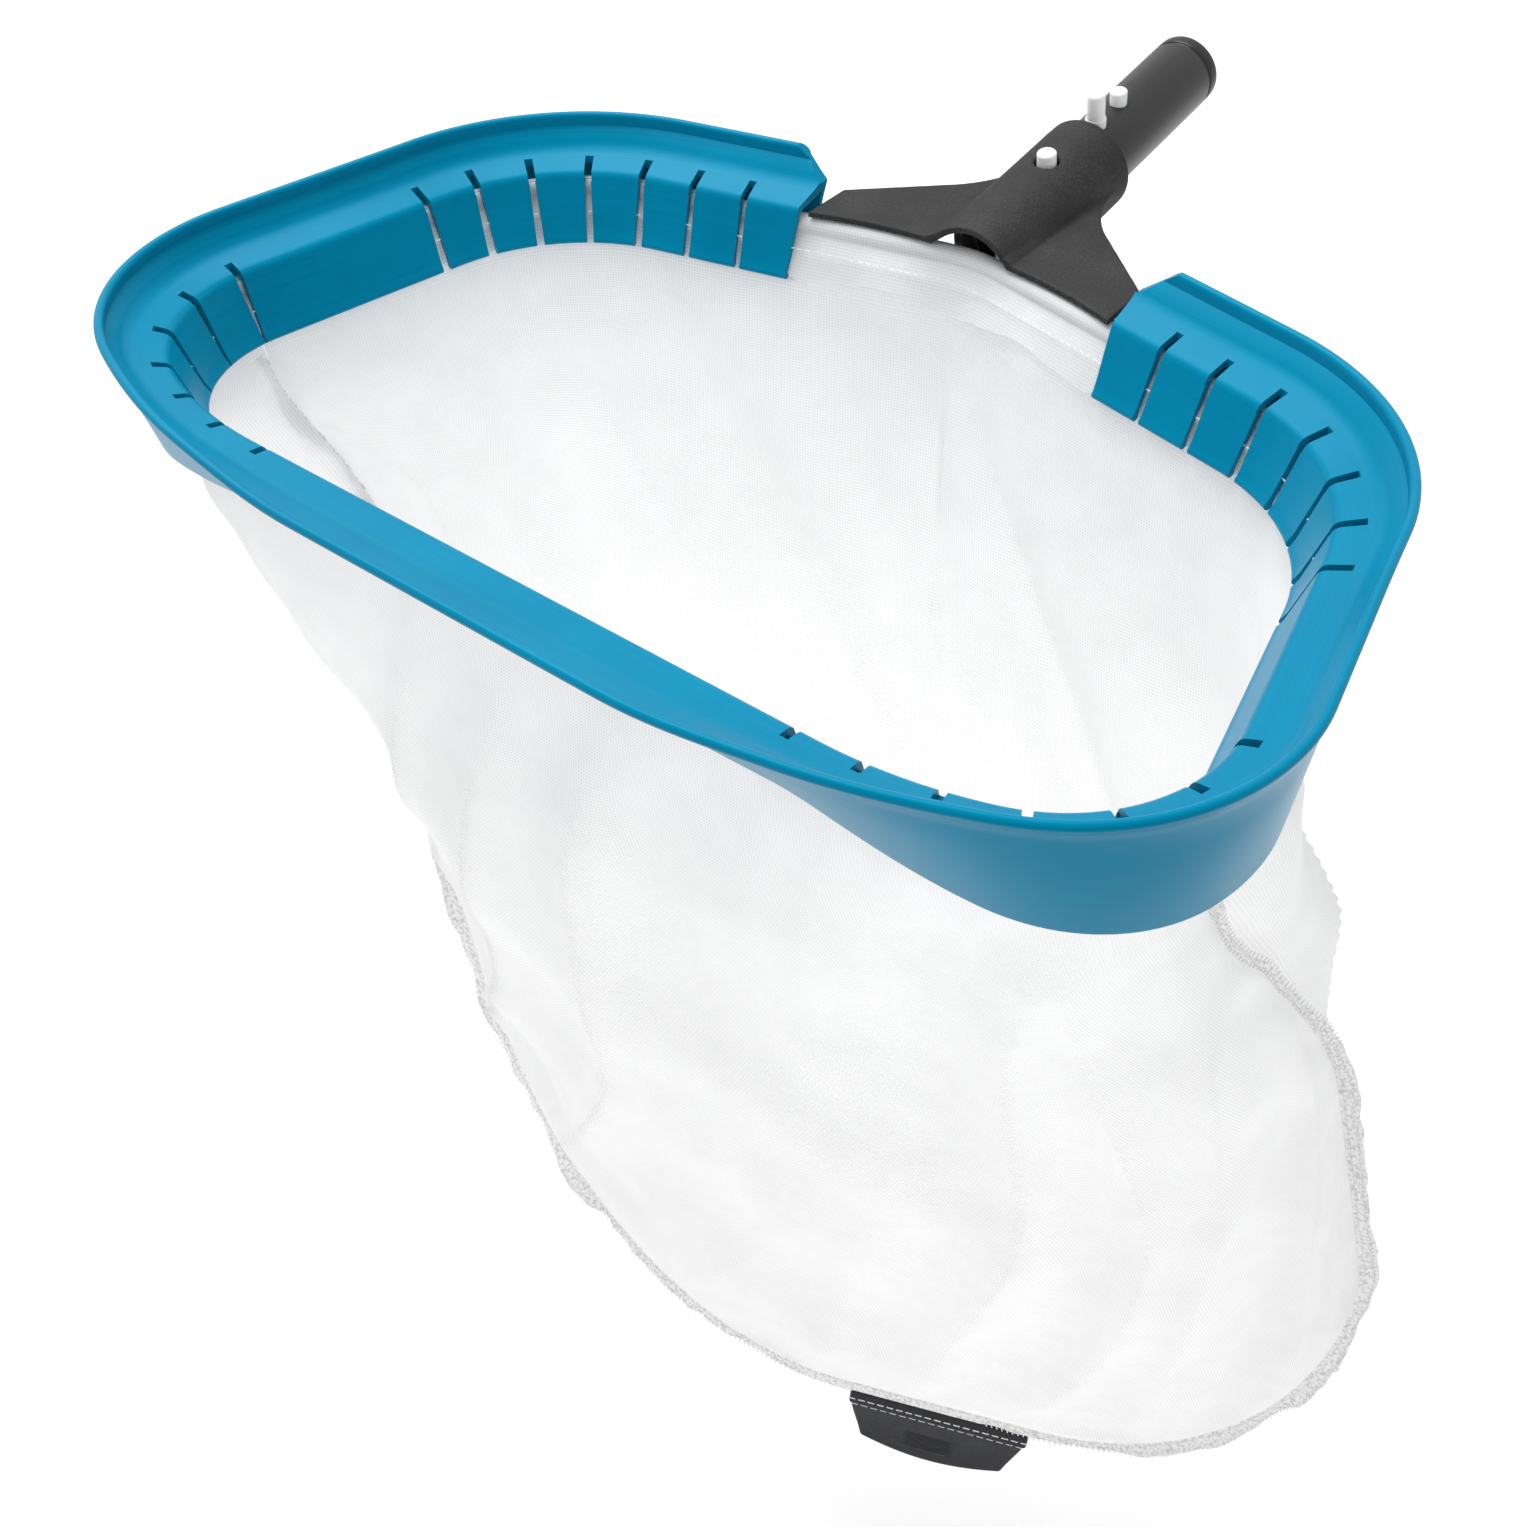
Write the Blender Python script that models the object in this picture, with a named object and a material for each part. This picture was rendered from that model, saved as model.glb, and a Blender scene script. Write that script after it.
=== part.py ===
"""Leaf skimmer net: a deep mesh bag on a D-shaped scoop rim, with a yoke and a handle tube.

The frame is +X along the scoop's straight front edge, +Y towards the handle and +Z up, out of
the mouth. The origin lies on the handle tube's centre line, where that line crosses the plane
of the mouth. The mouth, yoke and handle mirror about X = 0, and the bag hangs swung to +X.
"""

import math

import bmesh
import bpy
from mathutils import Matrix, Vector

MM = 0.001
GAP = 0.3 * MM  # the air left between two pieces that touch

# The mouth: one half of the rim's inner edge, from the middle of the front to the middle of the back.
FRONT_Y = -317.5 * MM
FRONT_HALF = 115 * MM
EASE_RADIUS, EASE_TURN = 150 * MM, math.radians(20)
CORNER_RADIUS, SIDE_HEADING = 57.4 * MM, math.radians(101.6)
SIDE_LENGTH = 81 * MM
BACK_RADIUS, ARM_HEADING = 80 * MM, math.radians(167)
CENTRE_RADIUS = 60 * MM

# The scoop rim's section, as offsets out of the mouth and heights over its plane.
WALL = 1.8 * MM
SHELF = 16 * MM
SKIRT_FOOT = (-8.2 * MM, -25 * MM)
BEAD_R = 1.5 * MM
RIM_END_X = 69 * MM
SLOTS_A_GROUP, SLOT_PITCH = 7, 22.3 * MM
FRONT_SLOT_AT = 108 * MM  # the first slot of the front corner, along the edge from the middle
BACK_SLOT_AT = 23 * MM  # the first slot of the back group, along the edge from the rim's end
SLOT_WIDTH, TIGHT_SLOT_WIDTH = 3.0 * MM, 1.0 * MM

# The frame rod and the hem round it.
ROD_R = 3.2 * MM
ROD_OFFSET, ROD_Z = 4.2 * MM, -7.1 * MM
ROD_END_X = 4 * MM
HEM_R = 4.1 * MM
HEM_END_X = 3 * MM

# The bag.
CLOTH = 1.2 * MM
BAG_TOP_Z, BAG_NECK_Z = -17 * MM, -30 * MM
BAG_DEPTH, BAG_HALF_WIDTH, BAG_HALF_DEEP = 413 * MM, 200 * MM, 118 * MM
CORNER_WIDE, CORNER_HIGH = 155 * MM, 225 * MM  # the foot's round corners
FOOT_HALF_THICK, SEAM_HALF_THICK = 2.4 * MM, 1.2 * MM
BAG_MIDDLE_Y = -195 * MM
BAG_SWING = Vector((140, -62)) * MM  # how far its foot hangs to the side and to the front
BAG_TWIST, BAG_TILT = math.radians(24), math.radians(3.5)
SEAM_AT = 0.44  # the side seams, as a share of half the mouth's edge from the front
SEAM_GAP, SEAM_WIDTH, SEAM_THICK = 2.6 * MM, 9 * MM, 1.6 * MM
TAB_WIDTH, TAB_FOOT_WIDTH, TAB_DROP, TAB_THICK = 80 * MM, 64 * MM, 38 * MM, 2 * MM
ROLL_R = 3.2 * MM  # the rolled strip that the tab hangs from

# The yoke.
PITCH = math.radians(9)  # of the handle over the plane of the mouth
PLATE = 2.5 * MM
WING_END_X = 66 * MM
FRONT_EDGE_Y, WING_FRONT_DROP = -75 * MM, 12 * MM
WING_CHORD = 23 * MM
COLLAR_R, BORE_R = 19 * MM, 14.8 * MM
COLLAR_FROM, COLLAR_TO = -58 * MM, 8 * MM  # along the handle's centre line

# The handle tube and its spring clips, as distances along the centre line and from it.
TUBE_R, TUBE_BORE_R = 14.5 * MM, 12 * MM
TUBE_FROM, TUBE_TO = -52 * MM, 83.4 * MM
COLLAR_BUTTON_AT, FINGER_PIN_AT, LOCK_PIN_AT = -22 * MM, 12.8 * MM, 29.5 * MM
COLLAR_BOW_AT, POLE_BOW_AT = -46 * MM, -5 * MM
ARM_WIDTH, ARM_THICK, ARM_MID_R = 8 * MM, 2.2 * MM, 10.5 * MM
BUTTON_R, BUTTON_TOP = 3.75 * MM, 22.6 * MM
FINGER_FOOT_R, FINGER_TOP_R, FINGER_TOP = 4.1 * MM, 3.5 * MM, 28 * MM
LOCK_R, LOCK_TOP = 3.4 * MM, 20 * MM

# The clamp plate under the wings and its screws.
CLAMP_TOP_Z, CLAMP_THICK = -12.2 * MM, 3 * MM
BOSS_R, SCREW_R, SCREW_HEAD_R, SCREW_HEAD = 4 * MM, 1.6 * MM, 3.3 * MM, 2 * MM
SCREW_X = (30 * MM, 54 * MM)
SCREW_BEHIND_ROD = 10.5 * MM

AXIS = Vector((0, math.cos(PITCH), math.sin(PITCH)))
ACROSS = Vector((0, -math.sin(PITCH), math.cos(PITCH)))

COLOURS = {
    "rim plastic": ((0.0, 0.243, 0.434), 0.38, 0),
    "rod aluminium": ((0.72, 0.73, 0.75), 0.35, 1),
    "mesh fabric": ((0.88, 0.88, 0.88), 0.9, 0),
    "seam tape": ((0.62, 0.62, 0.62), 0.9, 0),
    "tab vinyl": ((0.025, 0.026, 0.03), 0.6, 0),
    "yoke nylon": ((0.055, 0.055, 0.055), 0.65, 0),
    "tube plastic": ((0.04, 0.04, 0.042), 0.42, 0),
    "pin nylon": ((0.85, 0.85, 0.85), 0.4, 0),
    "screw steel": ((0.6, 0.6, 0.62), 0.3, 1),
}


# Materials and meshes

def material(name):
    """The Principled material of that name, made on first use."""
    found = bpy.data.materials.get(name)
    if found:
        return found
    colour, roughness, metallic = COLOURS[name]
    made = bpy.data.materials.new(name)
    made.use_nodes = True
    shader = made.node_tree.nodes["Principled BSDF"]
    shader.inputs["Base Color"].default_value = (*colour, 1)
    shader.inputs["Roughness"].default_value = roughness
    shader.inputs["Metallic"].default_value = metallic
    return made


def finished(bm, name, finish, smooth=35):
    """An object from a bmesh, with its normals out, its finish on and its round faces smooth."""
    bmesh.ops.recalc_face_normals(bm, faces=bm.faces)
    mesh = bpy.data.meshes.new(name)
    bm.to_mesh(mesh)
    bm.free()
    mesh.materials.append(material(finish))
    mesh.shade_smooth()
    mesh.set_sharp_from_angle(angle=math.radians(smooth))
    made = bpy.data.objects.new(name, mesh)
    bpy.context.scene.collection.objects.link(made)
    return made


def lofted(rings, name, finish):
    """A solid through outlines of equal count, closed at its first and last."""
    bm = bmesh.new()
    rows = [[bm.verts.new(point) for point in ring] for ring in rings]
    count = len(rows[0])
    for low, high in zip(rows, rows[1:]):
        for i in range(count):
            j = (i + 1) % count
            bm.faces.new((low[i], low[j], high[j], high[i]))
    bm.faces.new(rows[0])
    bm.faces.new(reversed(rows[-1]))
    bmesh.ops.triangulate(bm, faces=bm.faces)
    return finished(bm, name, finish)


def prism(outline, low, high, name, finish):
    """An outline of (x, y) points carried straight from one height to another."""
    rings = [[Vector((x, y, z)) for x, y in outline] for z in (low, high)]
    return lofted(rings, name, finish)


def turned(profile, base, axis, name, finish, sides=24):
    """A solid turned round an axis, from (distance along it, radius) points that run outwards."""
    to_axis = Vector(axis).to_track_quat("Z", "X").to_matrix()
    rings = []
    for along, radius in profile:
        ring = []
        for k in range(sides):
            angle = math.tau * k / sides
            local = Vector((radius * math.cos(angle), radius * math.sin(angle), along))
            ring.append(Vector(base) + to_axis @ local)
        rings.append(ring)
    return lofted(rings, name, finish)


def combine(target, other, operation="DIFFERENCE"):
    """The target with another solid joined to it or cut from it, and that other solid used up."""
    step = target.modifiers.new(operation.lower(), "BOOLEAN")
    step.operation = operation
    step.object = other
    graph = bpy.context.evaluated_depsgraph_get()
    result = bpy.data.meshes.new_from_object(target.evaluated_get(graph))
    target.modifiers.clear()
    finish = target.data.materials[0]
    target.data = result
    result.name = target.name
    result.materials.clear()
    result.materials.append(finish)
    bpy.data.objects.remove(other)
    return target


def handle_point(along, away=0.0, side=0.0):
    """A point by its distance along the handle's centre line, up from it and to the side."""
    return AXIS * along + ACROSS * away + Vector((side, 0, 0))


# The edge of the mouth

def mouth_stretches():
    """The half edge as (length, curvature) stretches. The arm is as long as it takes to reach X = 0."""
    corner_turn = SIDE_HEADING - EASE_TURN
    back_turn = ARM_HEADING - SIDE_HEADING
    centre_turn = math.pi - ARM_HEADING
    x = FRONT_HALF + EASE_RADIUS * math.sin(EASE_TURN)
    x += CORNER_RADIUS * (math.sin(SIDE_HEADING) - math.sin(EASE_TURN))
    x += SIDE_LENGTH * math.cos(SIDE_HEADING)
    x += BACK_RADIUS * (math.sin(ARM_HEADING) - math.sin(SIDE_HEADING))
    x -= CENTRE_RADIUS * math.sin(ARM_HEADING)
    arm = x / -math.cos(ARM_HEADING)
    return (
        (FRONT_HALF, 0.0),
        (EASE_RADIUS * EASE_TURN, 1 / EASE_RADIUS),
        (CORNER_RADIUS * corner_turn, 1 / CORNER_RADIUS),
        (SIDE_LENGTH, 0.0),
        (BACK_RADIUS * back_turn, 1 / BACK_RADIUS),
        (arm, 0.0),
        (CENTRE_RADIUS * centre_turn, 1 / CENTRE_RADIUS),
    )


STRETCHES = mouth_stretches()
HALF_EDGE = sum(length for length, _ in STRETCHES)


def mouth_at(along):
    """(point, heading, curvature) that far from the middle of the front. Less than 0 is the -X half."""
    left = abs(along)
    point, heading = Vector((0, FRONT_Y, 0)), 0.0
    for length, bend in STRETCHES:
        step = min(left, length)
        if bend:
            turned_by = step * bend
            point += Vector((
                math.sin(heading + turned_by) - math.sin(heading),
                math.cos(heading) - math.cos(heading + turned_by),
                0,
            )) / bend
            heading += turned_by
        else:
            point += Vector((math.cos(heading), math.sin(heading), 0)) * step
        left -= step
        if left <= 0:
            break
    if along < 0:
        return Vector((-point.x, point.y, 0)), -heading, bend
    return point, heading, bend


def from_edge(along, offset, height):
    """A point by its distance along the edge, its offset out of the mouth and its height."""
    point, heading, _ = mouth_at(along)
    outward = Vector((math.sin(heading), -math.cos(heading), 0))
    return point + outward * offset + Vector((0, 0, height))


def edge_length_to_x(x, offset):
    """How far along the edge the back arm's line at that offset reaches the given X."""
    low, high = HALF_EDGE / 2, HALF_EDGE
    for _ in range(40):
        middle = (low + high) / 2
        if from_edge(middle, offset, 0).x > x:
            low = middle
        else:
            high = middle
    return low


def steps_along(limit, straight=18 * MM, round_step=9 * MM):
    """Distances from -limit to +limit, closer together where the edge bends."""
    half, start = [0.0], 0.0
    for length, bend in STRETCHES:
        count = max(1, round(length / (round_step if bend else straight)))
        half += [start + length * (k + 1) / count for k in range(count)]
        start += length
    half = [s for s in half if s < limit - 2 * MM] + [limit]
    return [-s for s in reversed(half[1:])] + half


# The scoop rim

def blend(low, high, share):
    """A smooth step from low to high as share goes from 0 to 1."""
    share = min(max(share, 0.0), 1.0)
    return low + (high - low) * share * share * (3 - 2 * share)


def rim_section(along):
    """The rim's outline there. The lip lies out along the front and stands up round the sides."""
    s = abs(along)
    corner_share = (s - 62 * MM) / (118 * MM)
    wall_share = (s - 95 * MM) / (125 * MM)
    back_share = (s - (HALF_EDGE - 250 * MM)) / (150 * MM)
    lip_lean = blend(57, 12, corner_share) + blend(0, 16, back_share)
    wall_lean = blend(34, 4, wall_share) + blend(0, 16, back_share)
    shelf_z = blend(1.0, 4.5, corner_share) * MM
    lip_length = blend(13, 11, corner_share) * MM
    wall_length = blend(33, 38, wall_share) * MM
    lip = Vector((math.sin(math.radians(lip_lean)), math.cos(math.radians(lip_lean))))
    wall = Vector((math.sin(math.radians(wall_lean)), math.cos(math.radians(wall_lean))))
    lip_out = Vector((lip.y, -lip.x))
    wall_out = Vector((wall.y, -wall.x))
    half = WALL / 2
    ridge = Vector((SHELF, shelf_z))
    bead = ridge + lip * lip_length
    foot = ridge - wall * wall_length
    skirt = Vector(SKIRT_FOOT)
    down = skirt.normalized()
    skirt_out = Vector((-down.y, down.x))
    outline = [
        bead - lip_out * half - lip * 1.6 * BEAD_R,
        bead - lip_out * BEAD_R,
        bead + lip * BEAD_R,
        bead + lip_out * BEAD_R,
        bead + lip_out * half - lip * 1.6 * BEAD_R,
        ridge + (lip_out + wall_out) * 0.55 * half,
        foot + wall_out * half,
        foot - wall_out * half,
        ridge + Vector((-half - 1.2 * MM * wall.x, -2.4 * MM)),
        Vector((1.6 * MM, -half)),
        Vector((0.8 * MM, -2.4 * MM)),
        skirt + skirt_out * half - down * 3 * MM,
        skirt + skirt_out * BEAD_R - down * BEAD_R,
        skirt + skirt_out * 0.6 * BEAD_R,
        skirt - skirt_out * 0.6 * BEAD_R,
        skirt - skirt_out * BEAD_R - down * BEAD_R,
        skirt - skirt_out * half - down * 3 * MM,
        Vector((-half, -1.2 * MM)),
        Vector((-0.2 * MM, 0.6 * MM)),
        Vector((1.4 * MM, half)),
        Vector((SHELF - 5 * MM, shelf_z * 0.7 + half)),
        ridge + Vector((-1.2 * MM, 0.4 * MM)) + Vector((0, half)),
    ]
    return outline


def slot_cutter(along):
    """A cut through the skirt and a notch of the shelf, narrow where a tight bend squeezes the skirt."""
    _, _, bend = mouth_at(along)
    tight = min(abs(bend) * CORNER_RADIUS, 1.0)
    low_half = (SLOT_WIDTH + (TIGHT_SLOT_WIDTH - SLOT_WIDTH) * tight) / 2
    foot_x, foot_z = SKIRT_FOOT
    skirt = ((1.2 * MM, -2.0 * MM), (foot_x + 2.6 * MM, foot_z - 2 * MM),
             (foot_x - 4 * MM, foot_z - 2 * MM), (-4 * MM, -1.0 * MM))
    notch = ((6.5 * MM, 6 * MM), (6.5 * MM, -1.6 * MM), (-4 * MM, -2.6 * MM), (-4 * MM, 6 * MM))
    cutters = []
    for name, outline, half in (("skirt_cut", skirt, low_half), ("notch_cut", notch, SLOT_WIDTH / 2)):
        point, heading, _ = mouth_at(along)
        outward = Vector((math.sin(heading), -math.cos(heading), 0))
        forward = Vector((math.cos(heading), math.sin(heading), 0))
        rings = [
            [point + outward * x + forward * side + Vector((0, 0, z)) for x, z in outline]
            for side in (-half, half)
        ]
        cutters.append(lofted(rings, name, "rim plastic"))
    return cutters


def slot_places():
    """The distances along the edge of all the slots: a group at each front corner and at each back bend."""
    rim_end = edge_length_to_x(RIM_END_X, 0)
    half = [FRONT_SLOT_AT + SLOT_PITCH * k for k in range(SLOTS_A_GROUP)]
    half += [rim_end - BACK_SLOT_AT - SLOT_PITCH * k for k in range(SLOTS_A_GROUP)]
    return [-s for s in half] + half


def scoop_rim():
    """The rim: one section carried round the mouth, cut square at its ends and slotted where it bends."""
    reach = edge_length_to_x(RIM_END_X - 8 * MM, 0)
    rings = [[from_edge(s, x, z) for x, z in rim_section(s)] for s in steps_along(reach)]
    rim = lofted(rings, "scoop_rim", "rim plastic")
    for along in slot_places():
        for cutter in slot_cutter(along):
            combine(rim, cutter)
    back_y = from_edge(reach, SHELF, 0).y
    end_block = prism(
        [(-RIM_END_X, back_y - 60 * MM), (RIM_END_X, back_y - 60 * MM),
         (RIM_END_X, back_y + 40 * MM), (-RIM_END_X, back_y + 40 * MM)],
        -60 * MM, 40 * MM, "end_block", "rim plastic")
    combine(rim, end_block)
    ridge_y = from_edge(edge_length_to_x(RIM_END_X, SHELF), SHELF, 0).y
    for side in (-1, 1):
        corners = [(RIM_END_X - 4 * MM, ridge_y), (RIM_END_X + 19 * MM, ridge_y + 1.5 * MM),
                   (RIM_END_X + 19 * MM, ridge_y + 16 * MM), (RIM_END_X - 4 * MM, ridge_y + 16 * MM)]
        trim = prism([(side * x, y) for x, y in corners], 4.4 * MM, 40 * MM, "lip_trim", "rim plastic")
        combine(rim, trim)
    return rim


# The frame rod and the hem

def frame_rod():
    """The aluminium rod, its two ends side by side under the arch."""
    end = edge_length_to_x(ROD_END_X, ROD_OFFSET)
    rings = []
    for s in steps_along(end, straight=24 * MM, round_step=12 * MM):
        ring = []
        for k in range(8):
            angle = math.tau * k / 8
            ring.append(from_edge(s, ROD_OFFSET + ROD_R * math.cos(angle), ROD_Z + ROD_R * math.sin(angle)))
        rings.append(ring)
    return lofted(rings, "frame_rod", "rod aluminium")


def hem_sleeve():
    """The doubled edge of the bag: a sleeve round the rod that narrows downwards to its stitching."""
    end = edge_length_to_x(HEM_END_X, ROD_OFFSET)
    sides = 8
    outer, inner = [], []
    for s in steps_along(end, straight=24 * MM, round_step=12 * MM):
        outer_ring, inner_ring = [], []
        for k in range(sides):
            angle = math.tau * k / sides
            reach = HEM_R
            x, z = math.cos(angle), math.sin(angle)
            tip = k == 3 * sides // 4
            outer_ring.append(from_edge(
                s,
                ROD_OFFSET + reach * x - (3.6 * MM if tip else 0),
                ROD_Z + reach * z - (4.6 * MM if tip else 0),
            ))
            inner_ring.append(from_edge(s, ROD_OFFSET + (ROD_R + GAP) * x, ROD_Z + (ROD_R + GAP) * z))
        outer.append(outer_ring)
        inner.append(inner_ring)
    bm = bmesh.new()
    shells = [[[bm.verts.new(p) for p in ring] for ring in shell] for shell in (outer, inner)]
    for rows in shells:
        for low, high in zip(rows, rows[1:]):
            for i in range(sides):
                j = (i + 1) % sides
                bm.faces.new((low[i], low[j], high[j], high[i]))
    for end_of in (0, -1):
        out_ring, in_ring = shells[0][end_of], shells[1][end_of]
        for i in range(sides):
            j = (i + 1) % sides
            bm.faces.new((out_ring[i], out_ring[j], in_ring[j], in_ring[i]))
    return finished(bm, "hem_sleeve", "mesh fabric")


# The bag

def bag_place(width_share, lift, share):
    """A place in the hanging bag: across it from -1 to 1, forward of its middle and down it from 0 to 1."""
    width = BAG_HALF_WIDTH * width_share
    into_corner = max(abs(width) - (BAG_HALF_WIDTH - CORNER_WIDE), 0) / CORNER_WIDE
    deepest = BAG_DEPTH - CORNER_HIGH * (1 - math.sqrt(max(1 - into_corner ** 2, 0)))
    down = deepest * share
    hung = down / BAG_DEPTH
    place = Matrix.Rotation(BAG_TWIST * hung, 3, "Z") @ Vector((width, -lift, 0))
    place += Vector((BAG_SWING.x * hung, BAG_MIDDLE_Y + BAG_SWING.y * hung, BAG_NECK_Z - down))
    place.z -= width * math.tan(BAG_TILT) * hung
    return place


def bag_point(u, v):
    """A point of the bag's middle surface: u runs round it from -1 to 1, 0 at the front, and v down it."""
    along = u * HALF_EDGE
    top = from_edge(along, -2.2 * MM, BAG_TOP_Z)
    neck = from_edge(along, -6.6 * MM, BAG_NECK_Z)
    neck_share = 0.03
    if v <= neck_share:
        return top.lerp(neck, v / neck_share)
    share = (v - neck_share) / (1 - neck_share)
    if abs(u) < SEAM_AT:
        angle = 90 * abs(u) / SEAM_AT
    else:
        angle = 90 + 90 * (abs(u) - SEAM_AT) / (1 - SEAM_AT)
    angle = math.radians(math.copysign(angle, u))
    lift = FOOT_HALF_THICK + BAG_HALF_DEEP * (1 - share ** 1.3)
    forward = lift * math.cos(angle) + math.copysign(SEAM_HALF_THICK, SEAM_AT - abs(u))
    hung = bag_place(math.sin(angle), forward, share)
    flat = neck.lerp(hung, blend(0, 1, share / 0.6))
    return Vector((flat.x, flat.y, hung.z))


def bag_panel(name, u_from, u_to, columns, rows=11):
    """One mesh panel as a thin open sheet of cloth."""
    vs = [0, 0.03] + [0.03 + 0.97 * (k + 1) / rows for k in range(rows)]
    bm = bmesh.new()
    faces_of = {}
    for inside in (0, 1):
        grid = []
        for v in vs:
            row = []
            for k in range(columns + 1):
                u = u_from + (u_to - u_from) * k / columns
                here = bag_point((u + 1) % 2 - 1, v)
                around = bag_point((u + 1.002) % 2 - 1, v) - bag_point((u + 0.998) % 2 - 1, v)
                low_v, high_v = max(v - 0.004, 0), min(v + 0.004, 1)
                down = bag_point((u + 1) % 2 - 1, high_v) - bag_point((u + 1) % 2 - 1, low_v)
                out = down.cross(around).normalized()
                row.append(bm.verts.new(here + out * CLOTH * (0.5 - inside)))
            grid.append(row)
        faces_of[inside] = grid
    outer, inner = faces_of[0], faces_of[1]
    for grid in (outer, inner):
        for low, high in zip(grid, grid[1:]):
            for i in range(columns):
                bm.faces.new((low[i], low[i + 1], high[i + 1], high[i]))
    for row in (0, -1):
        for i in range(columns):
            bm.faces.new((outer[row][i], outer[row][i + 1], inner[row][i + 1], inner[row][i]))
    for column in (0, -1):
        for k in range(len(vs) - 1):
            bm.faces.new((outer[k][column], outer[k + 1][column], inner[k + 1][column], inner[k][column]))
    return finished(bm, name, "mesh fabric")


def fin_along(points, outs, name):
    """A seam tape along points: two edges of cloth bound together, standing out from the bag as a fin."""
    rings = []
    for i, (point, out) in enumerate(zip(points, outs)):
        ahead = points[min(i + 1, len(points) - 1)] - points[max(i - 1, 0)]
        across = ahead.cross(out).normalized() * SEAM_THICK / 2
        near, far = out.normalized() * SEAM_GAP, out.normalized() * (SEAM_GAP + SEAM_WIDTH)
        rings.append([
            point + near - across, point + far - across, point + far + across, point + near + across,
        ])
    return lofted(rings, name, "seam tape")


def seam_point(side, v):
    """Midway between the two panels' edges at one side of the bag."""
    return (bag_point(side * (SEAM_AT - 0.001), v) + bag_point(side * (SEAM_AT + 0.001), v)) / 2


def side_seam(side, name):
    """The fin down one side of the bag."""
    points, outs = [], []
    for k in range(17):
        v = 0.075 + 0.9 * k / 16
        here = seam_point(side, v)
        centre = (bag_point(0, v) + bag_point(1, v)) / 2
        ahead = seam_point(side, v + 0.01) - seam_point(side, v - 0.01)
        away = Vector((here.x - centre.x, here.y - centre.y, 0))
        out = away - ahead * (away.dot(ahead) / ahead.length_squared)
        points.append(here)
        outs.append(out)
    return fin_along(points, outs, name)


FOOT_ALONG = Matrix.Rotation(BAG_TWIST, 3, "Z") @ Vector((math.cos(BAG_TILT), 0, -math.sin(BAG_TILT)))
FOOT_DOWN = Matrix.Rotation(BAG_TWIST, 3, "Z") @ Vector((-math.sin(BAG_TILT), 0, -math.cos(BAG_TILT)))
FOOT_BACK = Matrix.Rotation(BAG_TWIST, 3, "Z") @ Vector((0, 1, 0))


def foot_centre():
    """The middle of the bag's foot."""
    return bag_place(0, 0, 1)


def bottom_seam():
    """The fin round both lower corners and along the foot."""
    places = [math.sin(math.radians(84 * (k / 14 - 1))) for k in range(29)]
    points = [bag_place(place, 0, 1) for place in places]
    outs = []
    for k in range(len(points)):
        ahead = points[min(k + 1, len(points) - 1)] - points[max(k - 1, 0)]
        outs.append(ahead.cross(FOOT_BACK))
    return fin_along(points, outs, "bottom_seam")


def tab_outline(drop_from, drop_to, steps=8):
    """The pull tab's outline as (side, drop) points: sides that close in and a bowed foot."""
    points = [(-TAB_WIDTH / 2, drop_from), (TAB_WIDTH / 2, drop_from)]
    bow = 5 * MM
    for k in range(steps + 1):
        side = TAB_FOOT_WIDTH / 2 * (1 - 2 * k / steps)
        points.append((side, drop_to - bow * (2 * side / TAB_FOOT_WIDTH) ** 2))
    return points


def pull_tab():
    """The tab and the rolled strip it hangs from. The tab's origin lies on the roll's centre line."""
    top = foot_centre() + FOOT_DOWN * (SEAM_GAP + SEAM_WIDTH + GAP)
    around = []
    for k in range(10):
        angle = math.tau * k / 10
        around.append(FOOT_BACK * ROLL_R * math.cos(angle) + FOOT_DOWN * ROLL_R * (math.sin(angle) + 1))
    half = TAB_WIDTH / 2 + MM
    ends = [[top + FOOT_ALONG * side + point for point in around] for side in (-half, half)]
    lofted(ends, "tab_strip", "tab vinyl")
    outline = tab_outline(ROLL_R + GAP + 0.8 * MM, ROLL_R + GAP + TAB_DROP)
    faces = [
        [FOOT_ALONG * x + FOOT_DOWN * z + FOOT_BACK * lift for x, z in outline]
        for lift in (-TAB_THICK / 2, TAB_THICK / 2)
    ]
    tab = lofted(faces, "pull_tab", "tab vinyl")
    tab.location = top + FOOT_DOWN * ROLL_R
    return tab


# The yoke

def drape(x, y, radius, plate_z, ease=5 * MM):
    """The height of a plate that lifts smoothly over a cylinder on the handle's centre line."""
    axis_z = y * math.tan(PITCH)
    half = radius / math.cos(PITCH)
    reach = radius * radius - x * x
    crown = axis_z + (half * math.sqrt(reach) / radius if reach > 0 else -radius)
    high, low = max(crown, plate_z), min(crown, plate_z)
    return high + ease * math.log1p(math.exp((low - high) / ease)) * 0.6


def yoke_outline():
    """The yoke from above: a bowed front edge, square tips, and back edges that sweep into the collar."""
    bow_radius = (WING_END_X ** 2 + WING_FRONT_DROP ** 2) / (2 * WING_FRONT_DROP)
    front = []
    for k in range(13):
        x = WING_END_X * (k / 6 - 1)
        front.append((x, FRONT_EDGE_Y - bow_radius + math.sqrt(bow_radius ** 2 - x ** 2)))
    tip_y = FRONT_EDGE_Y - WING_FRONT_DROP + WING_CHORD
    sweep = math.radians(48)
    sweep_radius = 47.8 * MM
    back = [(WING_END_X, tip_y)]
    for k in range(9):
        angle = sweep * (1 - k / 8)
        back.append((
            COLLAR_R + sweep_radius * (1 - math.cos(angle)),
            -sweep_radius * math.sin(angle),
        ))
    mirrored = [(-x, y) for x, y in reversed(back)]
    return front + back + mirrored


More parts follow.
